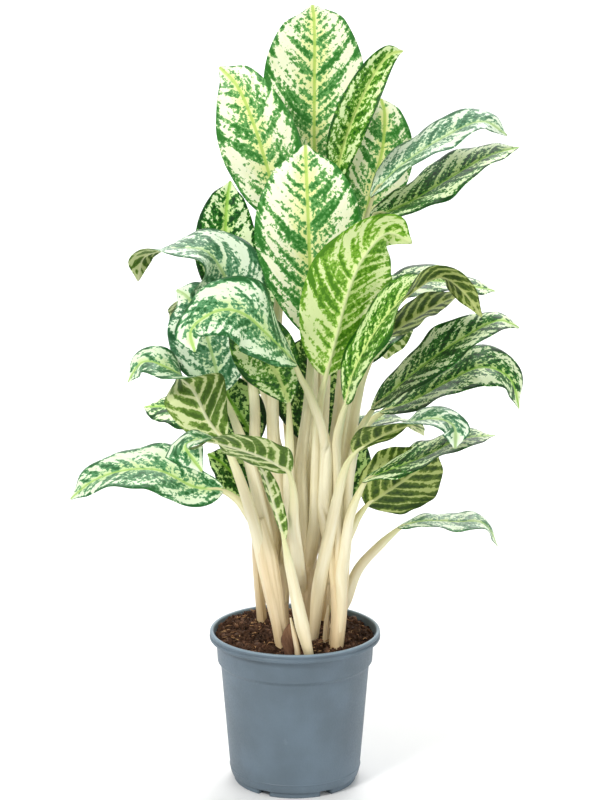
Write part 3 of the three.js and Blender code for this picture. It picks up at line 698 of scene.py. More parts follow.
# %% Wall, feet and floor
def turned(outline, materials, name, steps=ROUND):
    """A closed outline turned about the pot's axis."""
    angles = np.linspace(0, 2 * math.pi, steps, endpoint=False)
    radius, height = outline[:, 0], outline[:, 1]
    rings = np.stack([
        radius[None] * np.cos(angles)[:, None], radius[None] * np.sin(angles)[:, None],
        np.broadcast_to(height, (steps, len(height)))], -1) * MM
    rings = np.concatenate([rings, rings[:1]])
    turn = np.linspace(0, 1, steps + 1)[:, None] * np.ones(len(outline))
    reach = np.concatenate([[0], np.cumsum(np.linalg.norm(np.diff(outline, axis=0), axis=1))])
    across = np.broadcast_to(reach, turn.shape)
    skins = Skins()
    skins.add(rings, np.stack([turn, across / reach[-1]], -1), np.stack([turn * 500, across], -1),
              [0] * len(outline), close_ends=False)
    piece = skins.build(name, materials)
    weld(piece)
    return piece


def arc_block(inner, outer, low, high, middle, sweep, name, material, bevel=1.2):
    """A short stretch of a ring with rounded edges: one foot of the pot."""
    angles = middle + np.linspace(-sweep / 2, sweep / 2, 17)
    corner = [[inner, low], [outer, low], [outer, high], [inner, high]]
    section = rounded(corner + corner[:2], bevel, 5)[1:-1]
    rings = np.stack([
        section[None, :, 0] * np.cos(angles)[:, None], section[None, :, 0] * np.sin(angles)[:, None],
        np.broadcast_to(section[:, 1], (len(angles), len(section)))], -1) * MM
    flat = np.zeros(rings.shape[:2] + (2,))
    skins = Skins()
    skins.add(rings, flat, flat, [0] * len(section))
    piece = skins.build(name, [material])
    weld(piece)
    return piece


def floor_disc(name, material):
    """The floor, with a ring of drain holes, as one thin plate."""
    body = bmesh.new()
    circles = [(0, 0, BODY_FOOT - 7.5, 96)]
    for k in range(DRAIN_COUNT):
        a = 2 * math.pi * (k + 0.5) / DRAIN_COUNT
        circles.append((DRAIN_RING * math.cos(a), DRAIN_RING * math.sin(a), DRAIN_RADIUS, 24))
    outline = []
    for x, y, radius, steps in circles:
        ring = []
        for k in range(steps):
            a = 2 * math.pi * k / steps
            point = np.array([x + radius * math.cos(a), y + radius * math.sin(a), FLOOR]) * MM
            ring.append(body.verts.new(point))
        outline += [body.edges.new((ring[k], ring[(k + 1) % steps])) for k in range(steps)]
    filled = bmesh.ops.triangle_fill(body, edges=outline, use_beauty=True)
    faces = [item for item in filled["geom"] if isinstance(item, bmesh.types.BMFace)]
    raised = bmesh.ops.extrude_face_region(body, geom=faces)
    tops = [item for item in raised["geom"] if isinstance(item, bmesh.types.BMVert)]
    bmesh.ops.translate(body, verts=tops, vec=(0, 0, WALL * MM))
    bmesh.ops.recalc_face_normals(body, faces=body.faces)
    mesh = bpy.data.meshes.new(name)
    body.to_mesh(mesh)
    body.free()
    mesh.materials.append(material)
    piece = bpy.data.objects.new(name, mesh)
    bpy.context.collection.objects.link(piece)
    return piece


print("parts of the pot ready")

# %% [markdown]
# On the real pot wall, floor and feet are one moulding, so they are joined. The finished piece stands in
# for the plain solid of the construction model.

# %% The pot
def make_pot():
    shell = turned(pot_outline(), [PLASTIC], "nursery pot")
    parts = [shell, floor_disc("pot floor", PLASTIC)]
    for k in range(FOOT_COUNT):
        middle = 2 * math.pi * k / FOOT_COUNT - math.pi / 2
        inner, outer, sweep = BODY_FOOT - 12.8, BODY_FOOT - 3.8, math.radians(48)
        parts.append(arc_block(inner, outer, 0, FLOOR + 0.6, middle, sweep, f"foot {k}", PLASTIC))
    pot = joined(parts, "nursery_pot")
    stand_for(pot, "pot")
    return pot


POT = make_pot()
print("pot:", len(POT.data.polygons), "faces")

# %% [markdown]
# ## The soil
# Potting soil is crumbs of peat and bark of many sizes with a few pale fibres. A bump map would look flat
# at the edge of the heap, so the bed is roughened by real displacement and the crumbs are real lumps. The
# height of the heap is one formula, because the bed, the crumbs and the fibres all lie on it.

# %% Shape of the heap
SOIL_Z = POT_TOP - 5
SOIL_REACH = RIM - 6.6


def heap_height(x, y):
    """Height of the bed, in millimetres: heaped to the left and back, with soft lumps."""
    distance = np.hypot(x, y) / SOIL_REACH
    lumps = np.sin(x / 9) * np.cos(y / 11) + 0.6 * np.sin((x - y) / 17 + 1)
    rise = 3.0 * (1 - smooth_step(0.55, 1.0, distance)) + 1.1 * lumps - 0.02 * x + 0.012 * y
    return SOIL_Z + rise - 1.5 * smooth_step(0.93, 1.0, distance)


print("height of the heap at its middle", round(float(heap_height(0, 0)), 1))

# %% [markdown]
# Damp peat is nearly black in its pores and brown on its crumbs, and it has no gloss. Bark and fibres share
# a simpler material with two colours.

# %% Materials of the soil
def soil_material():
    material, tree, shader = new_material("potting soil")
    place = add_node(tree, "TexCoord").outputs["Object"]
    mottle = use_group(tree, MOTTLE, Place=place, Cloud_Size=70.0, Grain_Size=700.0).outputs
    body = blend_colours(tree, mottle["Cloud"], colour(28, 17, 11), colour(72, 48, 34))
    body = blend_colours(tree, maths(tree, "MULTIPLY", mottle["Grain"], 0.45), body, colour(104, 74, 54))
    tree.links.new(body, shader.inputs["Base Color"])
    shader.inputs["Roughness"].default_value = 0.95
    shader.inputs["Specular IOR Level"].default_value = 0.2
    relief = add_node(tree, "Bump", Height=mottle["Grain"], Strength=0.6, Distance=0.0008)
    tree.links.new(relief.outputs["Normal"], shader.inputs["Normal"])
    return material


def fibre_material(name, first, second):
    material, tree, shader = new_material(name)
    place = add_node(tree, "TexCoord").outputs["Object"]
    cloud = use_group(tree, MOTTLE, Place=place, Cloud_Size=120.0, Grain_Size=900.0).outputs["Cloud"]
    tree.links.new(blend_colours(tree, cloud, first, second), shader.inputs["Base Color"])
    shader.inputs["Roughness"].default_value = 0.8
    return material


SOIL = soil_material()
BARK = fibre_material("bark crumb", colour(58, 36, 24), colour(112, 76, 50))
FIBRE = fibre_material("peat fibre", colour(176, 128, 84), colour(206, 166, 118))
SOIL_MIX = [SOIL, BARK, FIBRE]
print("soil materials", [material.name for material in SOIL_MIX])

# %% [markdown]
# The bed is a disc of rings with a body below it that fills the pot. A little chance in the height of every
# point makes the ground between the crumbs.

# %% Bed
def make_soil_bed():
    rows, columns = 46, 120
    share = np.linspace(0.001, 1, rows)[:, None]
    angle = np.linspace(0, 2 * math.pi, columns, endpoint=False)[None]
    x, y = SOIL_REACH * share * np.cos(angle), SOIL_REACH * share * np.sin(angle)
    noise = np.random.default_rng(3).normal(0, 0.55, x.shape)
    top = np.stack([x, y, heap_height(x, y) + noise * (share < 0.99)], -1)
    wall = [
        (BAND - WALL - 1.5, POT_TOP - 14), (BODY_TOP - 4, SHOULDER_Z - 8), (BODY_FOOT - 3, FLOOR + 8),
        (BODY_FOOT - 6, FLOOR + 3), (0.1, FLOOR + 3)]
    around = np.stack([np.cos(angle[0]), np.sin(angle[0]), np.zeros(columns)], -1)
    under = np.array([radius * around + [0, 0, z] for radius, z in wall])
    rings = np.concatenate([top, under]) * MM
    flat = np.zeros(rings.shape[:2] + (2,))
    skins = Skins()
    skins.add(rings, flat, flat, [0] * columns)
    piece = skins.build("soil bed", SOIL_MIX)
    weld(piece)
    return piece


print("bed ready")

# %% [markdown]
# A crumb is a broken lump: a twenty-sided ball whose points are pushed in and out, stretched and turned. At
# this size that reads as peat, and it is light enough for thousands of them.

# %% Crumbs
LUMP = (1 + 5**0.5) / 2
LUMP_POINTS = unit(np.array([
    [-1, LUMP, 0], [1, LUMP, 0], [-1, -LUMP, 0], [1, -LUMP, 0], [0, -1, LUMP], [0, 1, LUMP],
    [0, -1, -LUMP], [0, 1, -LUMP], [LUMP, 0, -1], [LUMP, 0, 1], [-LUMP, 0, -1], [-LUMP, 0, 1]], float))
LUMP_FACES = [
    (0, 11, 5), (0, 5, 1), (0, 1, 7), (0, 7, 10), (0, 10, 11), (1, 5, 9), (5, 11, 4), (11, 10, 2),
    (10, 7, 6), (7, 1, 8), (3, 9, 4), (3, 4, 2), (3, 2, 6), (3, 6, 8), (3, 8, 9), (4, 9, 5),
    (2, 4, 11), (6, 2, 10), (8, 6, 7), (9, 8, 1)]
BARK_SHARE = 0.22


def make_crumbs(count=2600, seed=11):
    """Broken lumps of many sizes, scattered over the bed and sunk a little into it."""
    chance = np.random.default_rng(seed)
    points, faces, slots = [], [], []
    for k in range(count):
        distance = SOIL_REACH * math.sqrt(chance.uniform(0, 0.985))
        angle = chance.uniform(0, 2 * math.pi)
        size = min(chance.gamma(2.2, 0.55) + 0.5, 3.6)
        x, y = distance * math.cos(angle), distance * math.sin(angle)
        centre = np.array([x, y, float(heap_height(x, y)) + 0.35 * size])
        stretch = chance.uniform(0.55, 1.3, 3) * [1, 1, 0.8]
        turn = np.linalg.qr(chance.normal(size=(3, 3)))[0]
        dents = chance.uniform(0.75, 1.25, (len(LUMP_POINTS), 1))
        lump = (LUMP_POINTS * dents * stretch * size) @ turn + centre
        start = len(LUMP_POINTS) * k
        points.append(lump)
        faces += [(a + start, b + start, c + start) for a, b, c in LUMP_FACES]
        slots += [1 if chance.uniform() < BARK_SHARE else 0] * len(LUMP_FACES)
    mesh = bpy.data.meshes.new("crumbs")
    mesh.from_pydata((np.concatenate(points) * MM).tolist(), [], faces)
    mesh.polygons.foreach_set("material_index", slots)
    for title in ("Place", "Pattern"):
        mesh.uv_layers.new(name=title)
    for material in SOIL_MIX:
        mesh.materials.append(material)
    piece = bpy.data.objects.new("crumbs", mesh)
    bpy.context.collection.objects.link(piece)
    weld(piece, 1e-9)
    return piece


print("a crumb has", len(LUMP_FACES), "faces")

# %% [markdown]
# The pale threads are bits of fibre and root. Each is a short bent sweep that lies on the heap.

# %% Fibres, and the soil as one piece
def make_fibres(count=170, seed=5):
    """Short bent fibres that lie on the soil."""
    chance = np.random.default_rng(seed)
    skins = Skins()
    for _ in range(count):
        distance = SOIL_REACH * math.sqrt(chance.uniform(0, 0.9))
        angle, heading = chance.uniform(0, 2 * math.pi, 2)
        x, y = distance * math.cos(angle), distance * math.sin(angle)
        reach = chance.uniform(2.5, 8)
        step = np.array([math.cos(heading), math.sin(heading), chance.uniform(-0.25, 0.35)]) * reach / 2
        middle = np.array([x, y, float(heap_height(x, y)) + 1.6 + chance.uniform(0, 1.2)])
        bend = chance.normal(0, 0.7, 3)
        curve = SmoothCurve([middle - step, middle + bend, middle + step])
        add_tube(skins, curve, [0.15, chance.uniform(0.28, 0.6), 0.12], rows=6, columns=5, slot=2)
    return skins.build("fibres", SOIL_MIX)


SOIL_PIECE = joined([make_soil_bed(), make_crumbs(), make_fibres()], "potting_soil")
stand_for(SOIL_PIECE, "soil")
print("soil:", len(SOIL_PIECE.data.polygons), "faces")

# %% [markdown]
# ## Canes and sheaths
# A cane is a bundle of leaf sheaths wrapped round each other. The points of its line are those of the
# construction model, so that canes, petioles and collision stay together. Beside the canes stand a dry
# brown sheath, a torn one and a young one.

# %% Lines of the canes
STEMS = [
    {
        "name": "stem_left", "radii": [7.5, 10, 11, 5],
        "path": [[-12, -46, 150], [-21, -43, 205], [-34, -38, 278]],
    },
    {
        "name": "stem_left_back", "radii": [5.5, 5.8, 5.8, 3],
        "path": [[-33, 26, 150], [-37, 22, 215], [-38, 16, 292]],
    },
    {
        "name": "stem_middle_left", "radii": [6.5, 8.5, 9, 5],
        "path": [[-11, -2, 150], [-14, -4, 205], [-20, -8, 290]],
    },
    {
        "name": "stem_middle", "radii": [9, 12.5, 13, 6],
        "path": [[9, 4, 150], [9, -4, 210], [11, -10, 305]],
    },
    {
        "name": "stem_right", "radii": [8, 8.5, 8.5, 5],
        "path": [[40, -44, 150], [43, -40, 195], [39, -34, 275]],
    },
    {
        "name": "stem_right_back", "radii": [6.5, 7.5, 8, 4],
        "path": [[28, 24, 150], [31, 22, 215], [38, 20, 288]],
    },
    {
        "name": "stem_back", "radii": [9, 11, 11, 6],
        "path": [[6, 50, 150], [9, 54, 230], [6, 60, 318]],
    },
    {
        "name": "sheath_dry", "radii": [5.5, 6.5, 1.5], "dry": True,
        "path": [[-5, -62, 150], [-6, -60, 162], [-5, -57, 178]],
    },
    {
        "name": "sheath_torn", "radii": [3, 2.4, 1],
        "path": [[3, -68, 150], [0, -69, 168], [-4, -69, 188]],
    },
    {
        "name": "sheath_young", "radii": [3.5, 3, 1],
        "path": [[30, -34, 150], [31, -34, 170], [33, -35, 190]],
    },
]
ROOTED = 12
print(len(STEMS), "lines")

# %% [markdown]
# The section of a cane is not a plain circle: every sheath ends in an edge that laps over the next and
# winds slowly up the cane. Twisting a plain tube would not show that, so the section has the lap and
# shallow ribs. A dry sheath is crumpled instead.

# %% Canes
def lapped_section(laps, turn, lap_depth=0.13, rib_depth=0.02, ribs=11):
    """A round section with sheath edges that lap over each other and wind up the cane."""
    def shape(angle, t):
        wound = (laps * angle / (2 * math.pi) + turn * t + 0.13 * laps) % 1.0
        lap = smooth_step(0.0, 0.9, wound) * (1 - smooth_step(0.93, 1.0, wound))
        return 1 - lap_depth + lap_depth * lap + rib_depth * np.cos(ribs * angle)
    return shape


def crumpled_section(angle, t):
    """A section with deep uneven folds that change along the sheath."""
    return 1 + 0.2 * np.sin(3 * angle + 5 * t) + 0.12 * np.sin(8 * angle + 31 * t)


def make_stem(stem, k):
    """One cane, or one of the short sheaths beside the canes."""
    foot = np.array(stem["path"][0], float)
    points = [foot - [0, 0, ROOTED], *stem["path"]]
    radii = [stem["radii"][0], *stem["radii"]]
    skins = Skins()
    if stem.get("dry"):
        add_tube(skins, SmoothCurve(points), radii, 40, 40, 0, crumpled_section, (1, 0, 0), 90 * k)
        piece = skins.build(stem["name"] + "_piece", [DRY])
        stand_for(piece, stem["name"])
        return piece
    laps = 1 if stem["name"].startswith("sheath") else 2
    section = lapped_section(laps, 0.35 + 0.1 * k)
    add_tube(skins, SmoothCurve(points), radii, 60, 72, 0, section, (1, 0, 0), 90 * k)
    piece = skins.build(stem["name"] + "_piece", [CANE])
    stand_for(piece, stem["name"])
    return piece


CANES = [make_stem(stem, k) for k, stem in enumerate(STEMS)]
print(len(CANES), "canes and sheaths")

# %% [markdown]
# ## Leaves
# Each leaf has a midrib line, the directions that its upper surface looks in from base to tip, a width, a
# cup, and the stem that its petiole comes from. These few values bend a flat pattern into any leaf of the
# plant, so the list is all that tells one leaf from another. The construction model has the same lines.

# %% The leaves, as in the construction model
LEAVES = [
    # crown
    {
        "name": "leaf_crown_back", "look": "crown", "stem": "stem_middle",
        "widest": 0.58, "width": 100, "cup": 8,
        "faces": [[0, -1, 0.15], [0, -1, 0.05]],
        "petiole": [[12, -14, 275], [14, -16, 350], [20, 20, 480]],
        "rib": [[22, 46, 574], [19, 54, 626], [19, 57, 690], [19, 60, 742], [17, 78, 764]],
    },
    {
        "name": "leaf_crown_left", "look": "crown", "stem": "stem_middle_left",
        "width": 78, "cup": 10,
        "faces": [[-0.2, -1, 0.2], [-0.25, -1, 0.15]],
        "petiole": [[-12, -8, 268], [-20, -14, 340], [-21, -16, 410], [-15, -4, 490]],
        "rib": [[-9, -2, 560], [-22, -8, 601], [-38, -14, 654], [-53, -12, 689], [-71, -2, 708]],
    },
    {
        "name": "leaf_crown_sword", "look": "fresh", "stem": "stem_middle",
        "width": 50, "cup": 46,
        "faces": [[-0.1, -0.95, 0.3], [0.1, -0.95, 0.2]],
        "petiole": [[18, -4, 290], [26, 2, 360], [32, 6, 485]],
        "rib": [[38, 5, 594], [48, 0, 639], [67, -2, 686], [86, 4, 716], [103, 14, 722]],
    },
    {
        "name": "leaf_crown_right", "look": "crown", "stem": "stem_right_back",
        "width": 66, "cup": 8,
        "faces": [[0, -1, 0.1], [0.1, -1, 0.1]],
        "petiole": [[32, 30, 262], [46, 45, 349], [62, 64, 458]],
        "rib": [[68, 78, 548], [76, 80, 583], [86, 78, 622], [88, 74, 657], [84, 72, 674]],
    },
    {
        "name": "leaf_upper_right", "look": "pale_sheen", "stem": "stem_right_back",
        "width": 70, "cup": 12,
        "faces": [[-0.4, -0.2, 0.85], [-0.35, -0.3, 0.85], [-0.2, -0.35, 0.9]],
        "petiole": [[30, 14, 264], [44, 16, 384], [55, 12, 503]],
        "rib": [[72, 5, 584], [99, 10, 612], [138, 14, 638], [177, 14, 655], [203, 12, 642]],
    },
    {
        "name": "leaf_upper_right_low", "stem": "stem_right_back", "width": 84, "cup": 10,
        "faces": [[-0.35, -0.32, 0.9], [-0.3, -0.3, 0.9]],
        "petiole": [[38, 22, 270], [52, 30, 380], [60, 34, 480]],
        "rib": [[71, 30, 560], [106, 30, 574], [145, 30, 597], [184, 28, 620], [216, 26, 630]],
    },
    # middle of the clump
    {
        "name": "leaf_centre", "look": "crown", "stem": "stem_middle",
        "widest": 0.56, "width": 102, "cup": 8,
        "faces": [[0, -1, 0.2], [0, -1, 0.2]],
        "petiole": [[7, -26, 268], [6, -34, 330], [13, -40, 394]],
        "rib": [[16, -42, 454], [15, -52, 503], [13, -58, 561], [11, -55, 611], [10, -46, 639]],
    },
    {
        "name": "leaf_front_lime", "look": "crown", "under": "lime", "stem": "stem_middle",
        "width": 86, "cup": 10, "young": True,
        "faces": [[-0.2, 0.9, 0.35], [-0.2, 0.75, 0.6]],
        "petiole": [[20, -34, 272], [21, -46, 340], [23, -54, 390]],
        "rib": [
            [29, -62, 423], [38, -78, 462], [49, -92, 508], [62, -98, 540],
            [84, -94, 562], [108, -88, 552],
        ],
    },
    {
        "name": "leaf_front_left", "look": "bluish", "stem": "stem_right", "width": 74, "cup": 8,
        "faces": [[-0.1, -0.45, 0.9], [-0.1, -0.75, 0.65], [-0.5, -0.5, 0.7]],
        "petiole": [[29, -50, 290], [29, -62, 358], [16, -76, 404], [6, -88, 426]],
        "rib": [
            [2, -96, 441], [-24, -118, 472], [-47, -134, 495],
            [-70, -142, 498], [-92, -146, 482], [-89, -150, 462],
        ],
    },
    {
        "name": "leaf_left_upright", "stem": "stem_left_back", "width": 62, "cup": 10,
        "faces": [[-0.1, -1, 0.15], [0, -1, 0.1]],
        "petiole": [[-36, 16, 292], [-40, 16, 350], [-50, 20, 423]],
        "rib": [[-57, 22, 472], [-65, 20, 512], [-67, 20, 551], [-65, 22, 580], [-62, 26, 598]],
    },
    {
        "name": "leaf_left_arching", "look": "pale_sheen", "stem": "stem_middle_left",
        "width": 80, "cup": 10,
        "faces": [[-0.2, -0.9, 0.4], [-0.3, -0.3, 0.9], [-0.4, 0.5, 0.8]],
        "petiole": [[-25, -16, 280], [-38, -20, 330], [-39, -22, 392]],
        "rib": [
            [-48, -22, 455], [-61, -34, 502], [-81, -42, 537],
            [-112, -42, 541], [-141, -38, 533], [-148, -36, 509],
        ],
    },
    {
        "name": "leaf_left_pale", "look": "pale_sheen", "stem": "stem_left", "width": 76, "cup": 8,
        "faces": [[-0.2, -0.95, 0.3], [-0.2, -0.95, 0.2]],
        "petiole": [[-32, -30, 280], [-44, -30, 333], [-58, -32, 374]],
        "rib": [[-70, -32, 401], [-77, -38, 434], [-87, -42, 468], [-99, -40, 492], [-112, -34, 501]],
    },
    {
        "name": "leaf_left_folded", "look": "bluish", "stem": "stem_left", "width": 64, "cup": 10,
        "faces": [[-0.5, 0.75, 0.4], [-0.45, 0.6, 0.6], [-0.1, -0.3, 0.95], [-0.3, -0.45, 0.85]],
        "petiole": [[-36, -42, 262], [-44, -44, 292], [-55, -46, 326]],
        "rib": [
            [-67, -50, 358], [-83, -58, 381], [-98, -66, 415],
            [-119, -68, 432], [-142, -66, 437], [-157, -62, 417],
        ],
    },
    {
        "name": "leaf_left_back_low", "stem": "stem_left_back", "width": 66, "cup": 8,
        "faces": [[-0.3, -0.1, 0.95], [-0.3, -0.25, 0.95]],
        "petiole": [[-38, 20, 280], [-44, 40, 305], [-58, 70, 322]],
        "rib": [[-75, 95, 338], [-102, 112, 348], [-132, 130, 352], [-158, 142, 350]],
    },
    {
        "name": "leaf_front_low", "look": "bluish", "stem": "stem_middle", "width": 66, "cup": 12,
        "faces": [[-0.2, 0.7, 0.7], [-0.1, 0.3, 0.95], [-0.4, -0.35, 0.85]],
        "petiole": [[2, -50, 246], [-1, -78, 287], [-1, -96, 319]],
        "rib": [
            [-4, -102, 340], [-27, -118, 358], [-55, -132, 372],
            [-82, -138, 379], [-99, -140, 373], [-84, -142, 350],
        ],
    },
    {
        "name": "leaf_far_left", "look": "bluish", "stem": "stem_left", "width": 76, "cup": 10,
        "faces": [[-0.1, -0.75, 0.65], [0, -0.32, 0.95], [0, -0.3, 0.95]],
        "petiole": [[-26, -16, 240], [-40, -18, 268], [-54, -20, 290]],
        "rib": [
            [-69, -22, 303], [-97, -28, 307], [-130, -32, 324],
            [-163, -34, 325], [-193, -34, 315], [-217, -34, 296],
        ],
    },
    {
        "name": "leaf_under_left", "look": "fresh", "stem": "stem_middle_left",
        "widest": 0.56, "width": 60, "cup": 10,
        "faces": [[-0.1, -0.9, 0.45], [-0.2, -0.9, 0.4]],
        "petiole": [[-4, -36, 268], [-6, -46, 320], [-5, -54, 360]],
        "rib": [[-5, -60, 396], [-12, -68, 416], [-25, -76, 443], [-40, -80, 470], [-52, -80, 491]],
    },
    {
        "name": "leaf_dark_left", "look": "dark", "stem": "stem_middle_left",
        "width": 54, "cup": 10, "shaded": True,
        "faces": [[-0.2, -0.85, 0.5], [-0.2, -0.85, 0.5]],
        "petiole": [[-24, -4, 275], [-30, -4, 310]],
        "rib": [[-38, -8, 345], [-50, -10, 369], [-65, -12, 394], [-78, -10, 418]],
    },
    {
        "name": "leaf_strip", "width": 20, "cup": 20,
        "faces": [[0.7, 0.7, 0], [0.6, 0.8, 0]],
        "petiole": [[14, -70, 150], [7, -74, 182], [-2, -80, 229]],
        "rib": [[-9, -84, 269], [-17, -88, 300], [-26, -92, 330], [-37, -94, 352]],
    },
    {
        "name": "leaf_dark_left_low", "look": "dark", "stem": "stem_middle_left",
        "width": 46, "cup": 14, "shaded": True,
        "faces": [[-0.2, -0.5, 0.85], [-0.2, -0.5, 0.85]],
        "petiole": [[-20, 10, 262], [-30, 6, 272]],
        "rib": [[-42, 2, 286], [-56, 4, 306], [-70, 6, 321], [-86, 6, 332]],
    },
    # right-hand side
    {
        "name": "leaf_right_arching", "stem": "stem_right", "look": "fresh", "under": "dark",
        "width": 78, "cup": 10,
        "faces": [[-0.6, -0.5, 0.6], [-0.3, -0.4, 0.87], [0.6, 0.7, 0.4]],
        "petiole": [[40, -46, 290], [39, -58, 350], [43, -74, 382]],
        "rib": [
            [47, -84, 401], [56, -98, 438], [78, -116, 482], [103, -130, 513],
            [130, -138, 529], [151, -142, 516], [168, -146, 493],
        ],
    },
    {
        "name": "leaf_right_under", "look": "leaf", "under": "dark", "stem": "stem_right_back",
        "width": 60, "cup": 10,
        "faces": [[-0.4, 0.6, 0.7], [-0.2, 0.5, 0.85]],
        "petiole": [[42, -14, 280], [54, -8, 349], [65, -8, 408]],
        "rib": [[82, -8, 448], [106, -10, 466], [134, -12, 483], [160, -10, 493]],
    },
    {
        "name": "leaf_right_back_high", "stem": "stem_back", "width": 66, "cup": 10,
        "faces": [[0, -0.28, 0.96], [0.1, -0.28, 0.96]],
        "petiole": [[11, 54, 276], [30, 58, 340], [50, 68, 410]],
        "rib": [[70, 82, 468], [104, 94, 482], [140, 106, 488], [176, 112, 482], [204, 116, 476]],
    },
    {
        "name": "leaf_right_main", "stem": "stem_right", "width": 78, "cup": 10,
        "faces": [[-0.35, -0.3, 0.9], [-0.25, -0.3, 0.9]],
        "petiole": [[46, -38, 272], [53, -44, 328], [60, -52, 364]],
        "rib": [
            [72, -58, 391], [97, -66, 414], [126, -72, 440],
            [159, -74, 463], [189, -72, 477], [210, -68, 470],
        ],
    },
    {
        "name": "leaf_right_drooping", "stem": "stem_right", "width": 76, "cup": 10,
        "faces": [[0, -0.2, 0.98], [0.1, -0.25, 0.95], [0.7, -0.5, 0.5]],
        "petiole": [[47, -24, 262], [55, -22, 332], [67, -22, 364]],
        "rib": [
            [82, -22, 380], [112, -28, 392], [145, -32, 411],
            [177, -34, 426], [204, -34, 416], [215, -32, 385],
        ],
    },
    {
        "name": "leaf_right_mint", "look": "pale_sheen", "under": "dark", "width": 60, "cup": 12,
        "faces": [[-0.3, 0.7, 0.65], [-0.2, 0.45, 0.85], [0, -0.2, 0.97], [0.2, -0.5, 0.85]],
        "petiole": [[18, -24, 150], [24, -36, 210], [37, -58, 287], [47, -78, 336]],
        "rib": [
            [55, -90, 356], [73, -102, 372], [96, -114, 386],
            [125, -122, 395], [145, -126, 389], [147, -128, 368],
        ],
    },
    {
        "name": "leaf_right_long", "look": "leaf", "under": "dark", "stem": "stem_right",
        "width": 80, "cup": 8,
        "faces": [[-0.2, -0.08, 1], [-0.1, -0.05, 1]],
        "petiole": [[44, -42, 215], [48, -46, 245], [53, -54, 286]],
        "rib": [[64, -66, 322], [90, -72, 335], [123, -76, 349], [155, -76, 365], [189, -72, 368]],
    },
    {
        "name": "leaf_right_low_under", "look": "leaf", "under": "dark", "stem": "stem_right",
        "width": 80, "cup": 8,
        "faces": [[0.25, 0.8, 0.55], [0.3, 0.75, 0.6]],
        "petiole": [[42, -20, 225], [57, -22, 267]],
        "rib": [[69, -28, 289], [86, -34, 303], [106, -38, 318], [125, -40, 334], [136, -40, 346]],
    },
    {
        "name": "leaf_far_right_low", "look": "bluish", "under": "dark", "width": 52, "cup": 6,
        "faces": [[0, -0.05, 1], [0.1, -0.1, 1]],
        "petiole": [[36, 6, 150], [50, 4, 183], [62, 2, 215], [82, -2, 240]],
        "rib": [[101, -6, 261], [127, -10, 268], [157, -12, 268], [185, -12, 266], [199, -12, 243]],
    },
    # behind the stems and at the back of the clump
    {
        "name": "leaf_dark_gap", "look": "dark", "stem": "stem_right_back",
        "width": 58, "cup": 8, "shaded": True,
        "faces": [[0, -1, 0.1], [0, -1, 0.1]],
        "petiole": [[34, 28, 215], [42, 40, 240]],
        "rib": [[46, 46, 266], [48, 50, 296], [48, 52, 328], [47, 50, 354]],
    },
    {
        "name": "leaf_back_centre", "look": "dark", "stem": "stem_back",
        "width": 88, "cup": 8, "shaded": True,
        "faces": [[0, -1, 0.1], [0, -1, 0.3]],
        "petiole": [[4, 50, 290], [12, 46, 310]],
        "rib": [[20, 46, 330], [21, 56, 360], [20, 66, 398], [18, 70, 444]],
    },
    {
        "name": "leaf_back_left", "stem": "stem_back", "width": 80, "cup": 10,
        "faces": [[-0.3, 0.2, 0.9], [-0.2, 0.6, 0.8]],
        "petiole": [[-2, 62, 310], [-8, 74, 360], [-18, 88, 410]],
        "rib": [[-28, 96, 446], [-42, 112, 480], [-55, 130, 496], [-64, 146, 488], [-70, 158, 466]],
    },
    {
        "name": "leaf_back_upright", "stem": "stem_back", "width": 86, "cup": 10,
        "faces": [[0, -0.9, 0.4], [0, -0.8, 0.5]],
        "petiole": [[2, 66, 312], [6, 84, 380], [12, 96, 430]],
        "rib": [[16, 104, 462], [16, 114, 506], [12, 124, 552], [8, 132, 592], [4, 140, 620]],
    },
    {
        "name": "leaf_back_right", "stem": "stem_back", "width": 78, "cup": 10,
        "faces": [[0.2, -0.2, 0.9], [0.1, 0.6, 0.8]],
        "petiole": [[10, 66, 304], [28, 82, 340], [44, 94, 374]],
        "rib": [[56, 100, 400], [72, 118, 426], [84, 138, 436], [92, 156, 420], [96, 166, 396]],
    },
    {
        "name": "leaf_back_low", "stem": "stem_back", "width": 76, "cup": 10,
        "faces": [[-0.1, -0.1, 1], [-0.1, 0.5, 0.85]],
        "petiole": [[2, 62, 290], [0, 80, 326], [-2, 96, 348]],
        "rib": [[-4, 108, 364], [-8, 130, 376], [-14, 152, 374], [-18, 170, 350]],
    },
    {
        "name": "leaf_back_high", "stem": "stem_back", "width": 66, "cup": 10,
        "faces": [[0.2, -0.9, 0.4], [0.2, -0.8, 0.5]],
        "petiole": [[6, 68, 306], [18, 80, 380], [32, 88, 440]],
        "rib": [[42, 96, 478], [50, 110, 520], [54, 124, 562], [54, 134, 596]],
    },
    {
        "name": "leaf_back_left_mid", "stem": "stem_back", "width": 74, "cup": 10,
        "faces": [[-0.5, 0.1, 0.85], [-0.6, 0.3, 0.7]],
        "petiole": [[-12, 58, 300], [-28, 64, 370], [-38, 70, 410]],
        "rib": [[-48, 78, 434], [-74, 92, 462], [-104, 104, 470], [-128, 112, 448]],
    },
    {
        "name": "leaf_back_right_low", "stem": "stem_back", "width": 70, "cup": 10,
        "faces": [[0.3, 0.1, 0.95], [0.4, 0.3, 0.85]],
        "petiole": [[14, 64, 280], [26, 74, 300], [36, 82, 314]],
        "rib": [[46, 90, 324], [76, 106, 340], [108, 120, 342], [134, 130, 322]],
    },
]
for number, leaf in enumerate(LEAVES):
    leaf["number"] = number + 1
print(len(LEAVES), "leaves")

# %% [markdown]
# The blade is a thin closed skin over the midrib: its halves fold up a little, the margin waves, the tip
# draws out to a short point, the side veins quilt the surface, and the midrib is a channel above and a
# ridge below. A flat sheet with a thickness would do from afar, but the ridge and the quilting are what
# the light picks out on a real leaf.

# %% Blade
WIDEST_AT = 0.48
BLADE_ROWS = 64
HALF_COLUMNS = 15


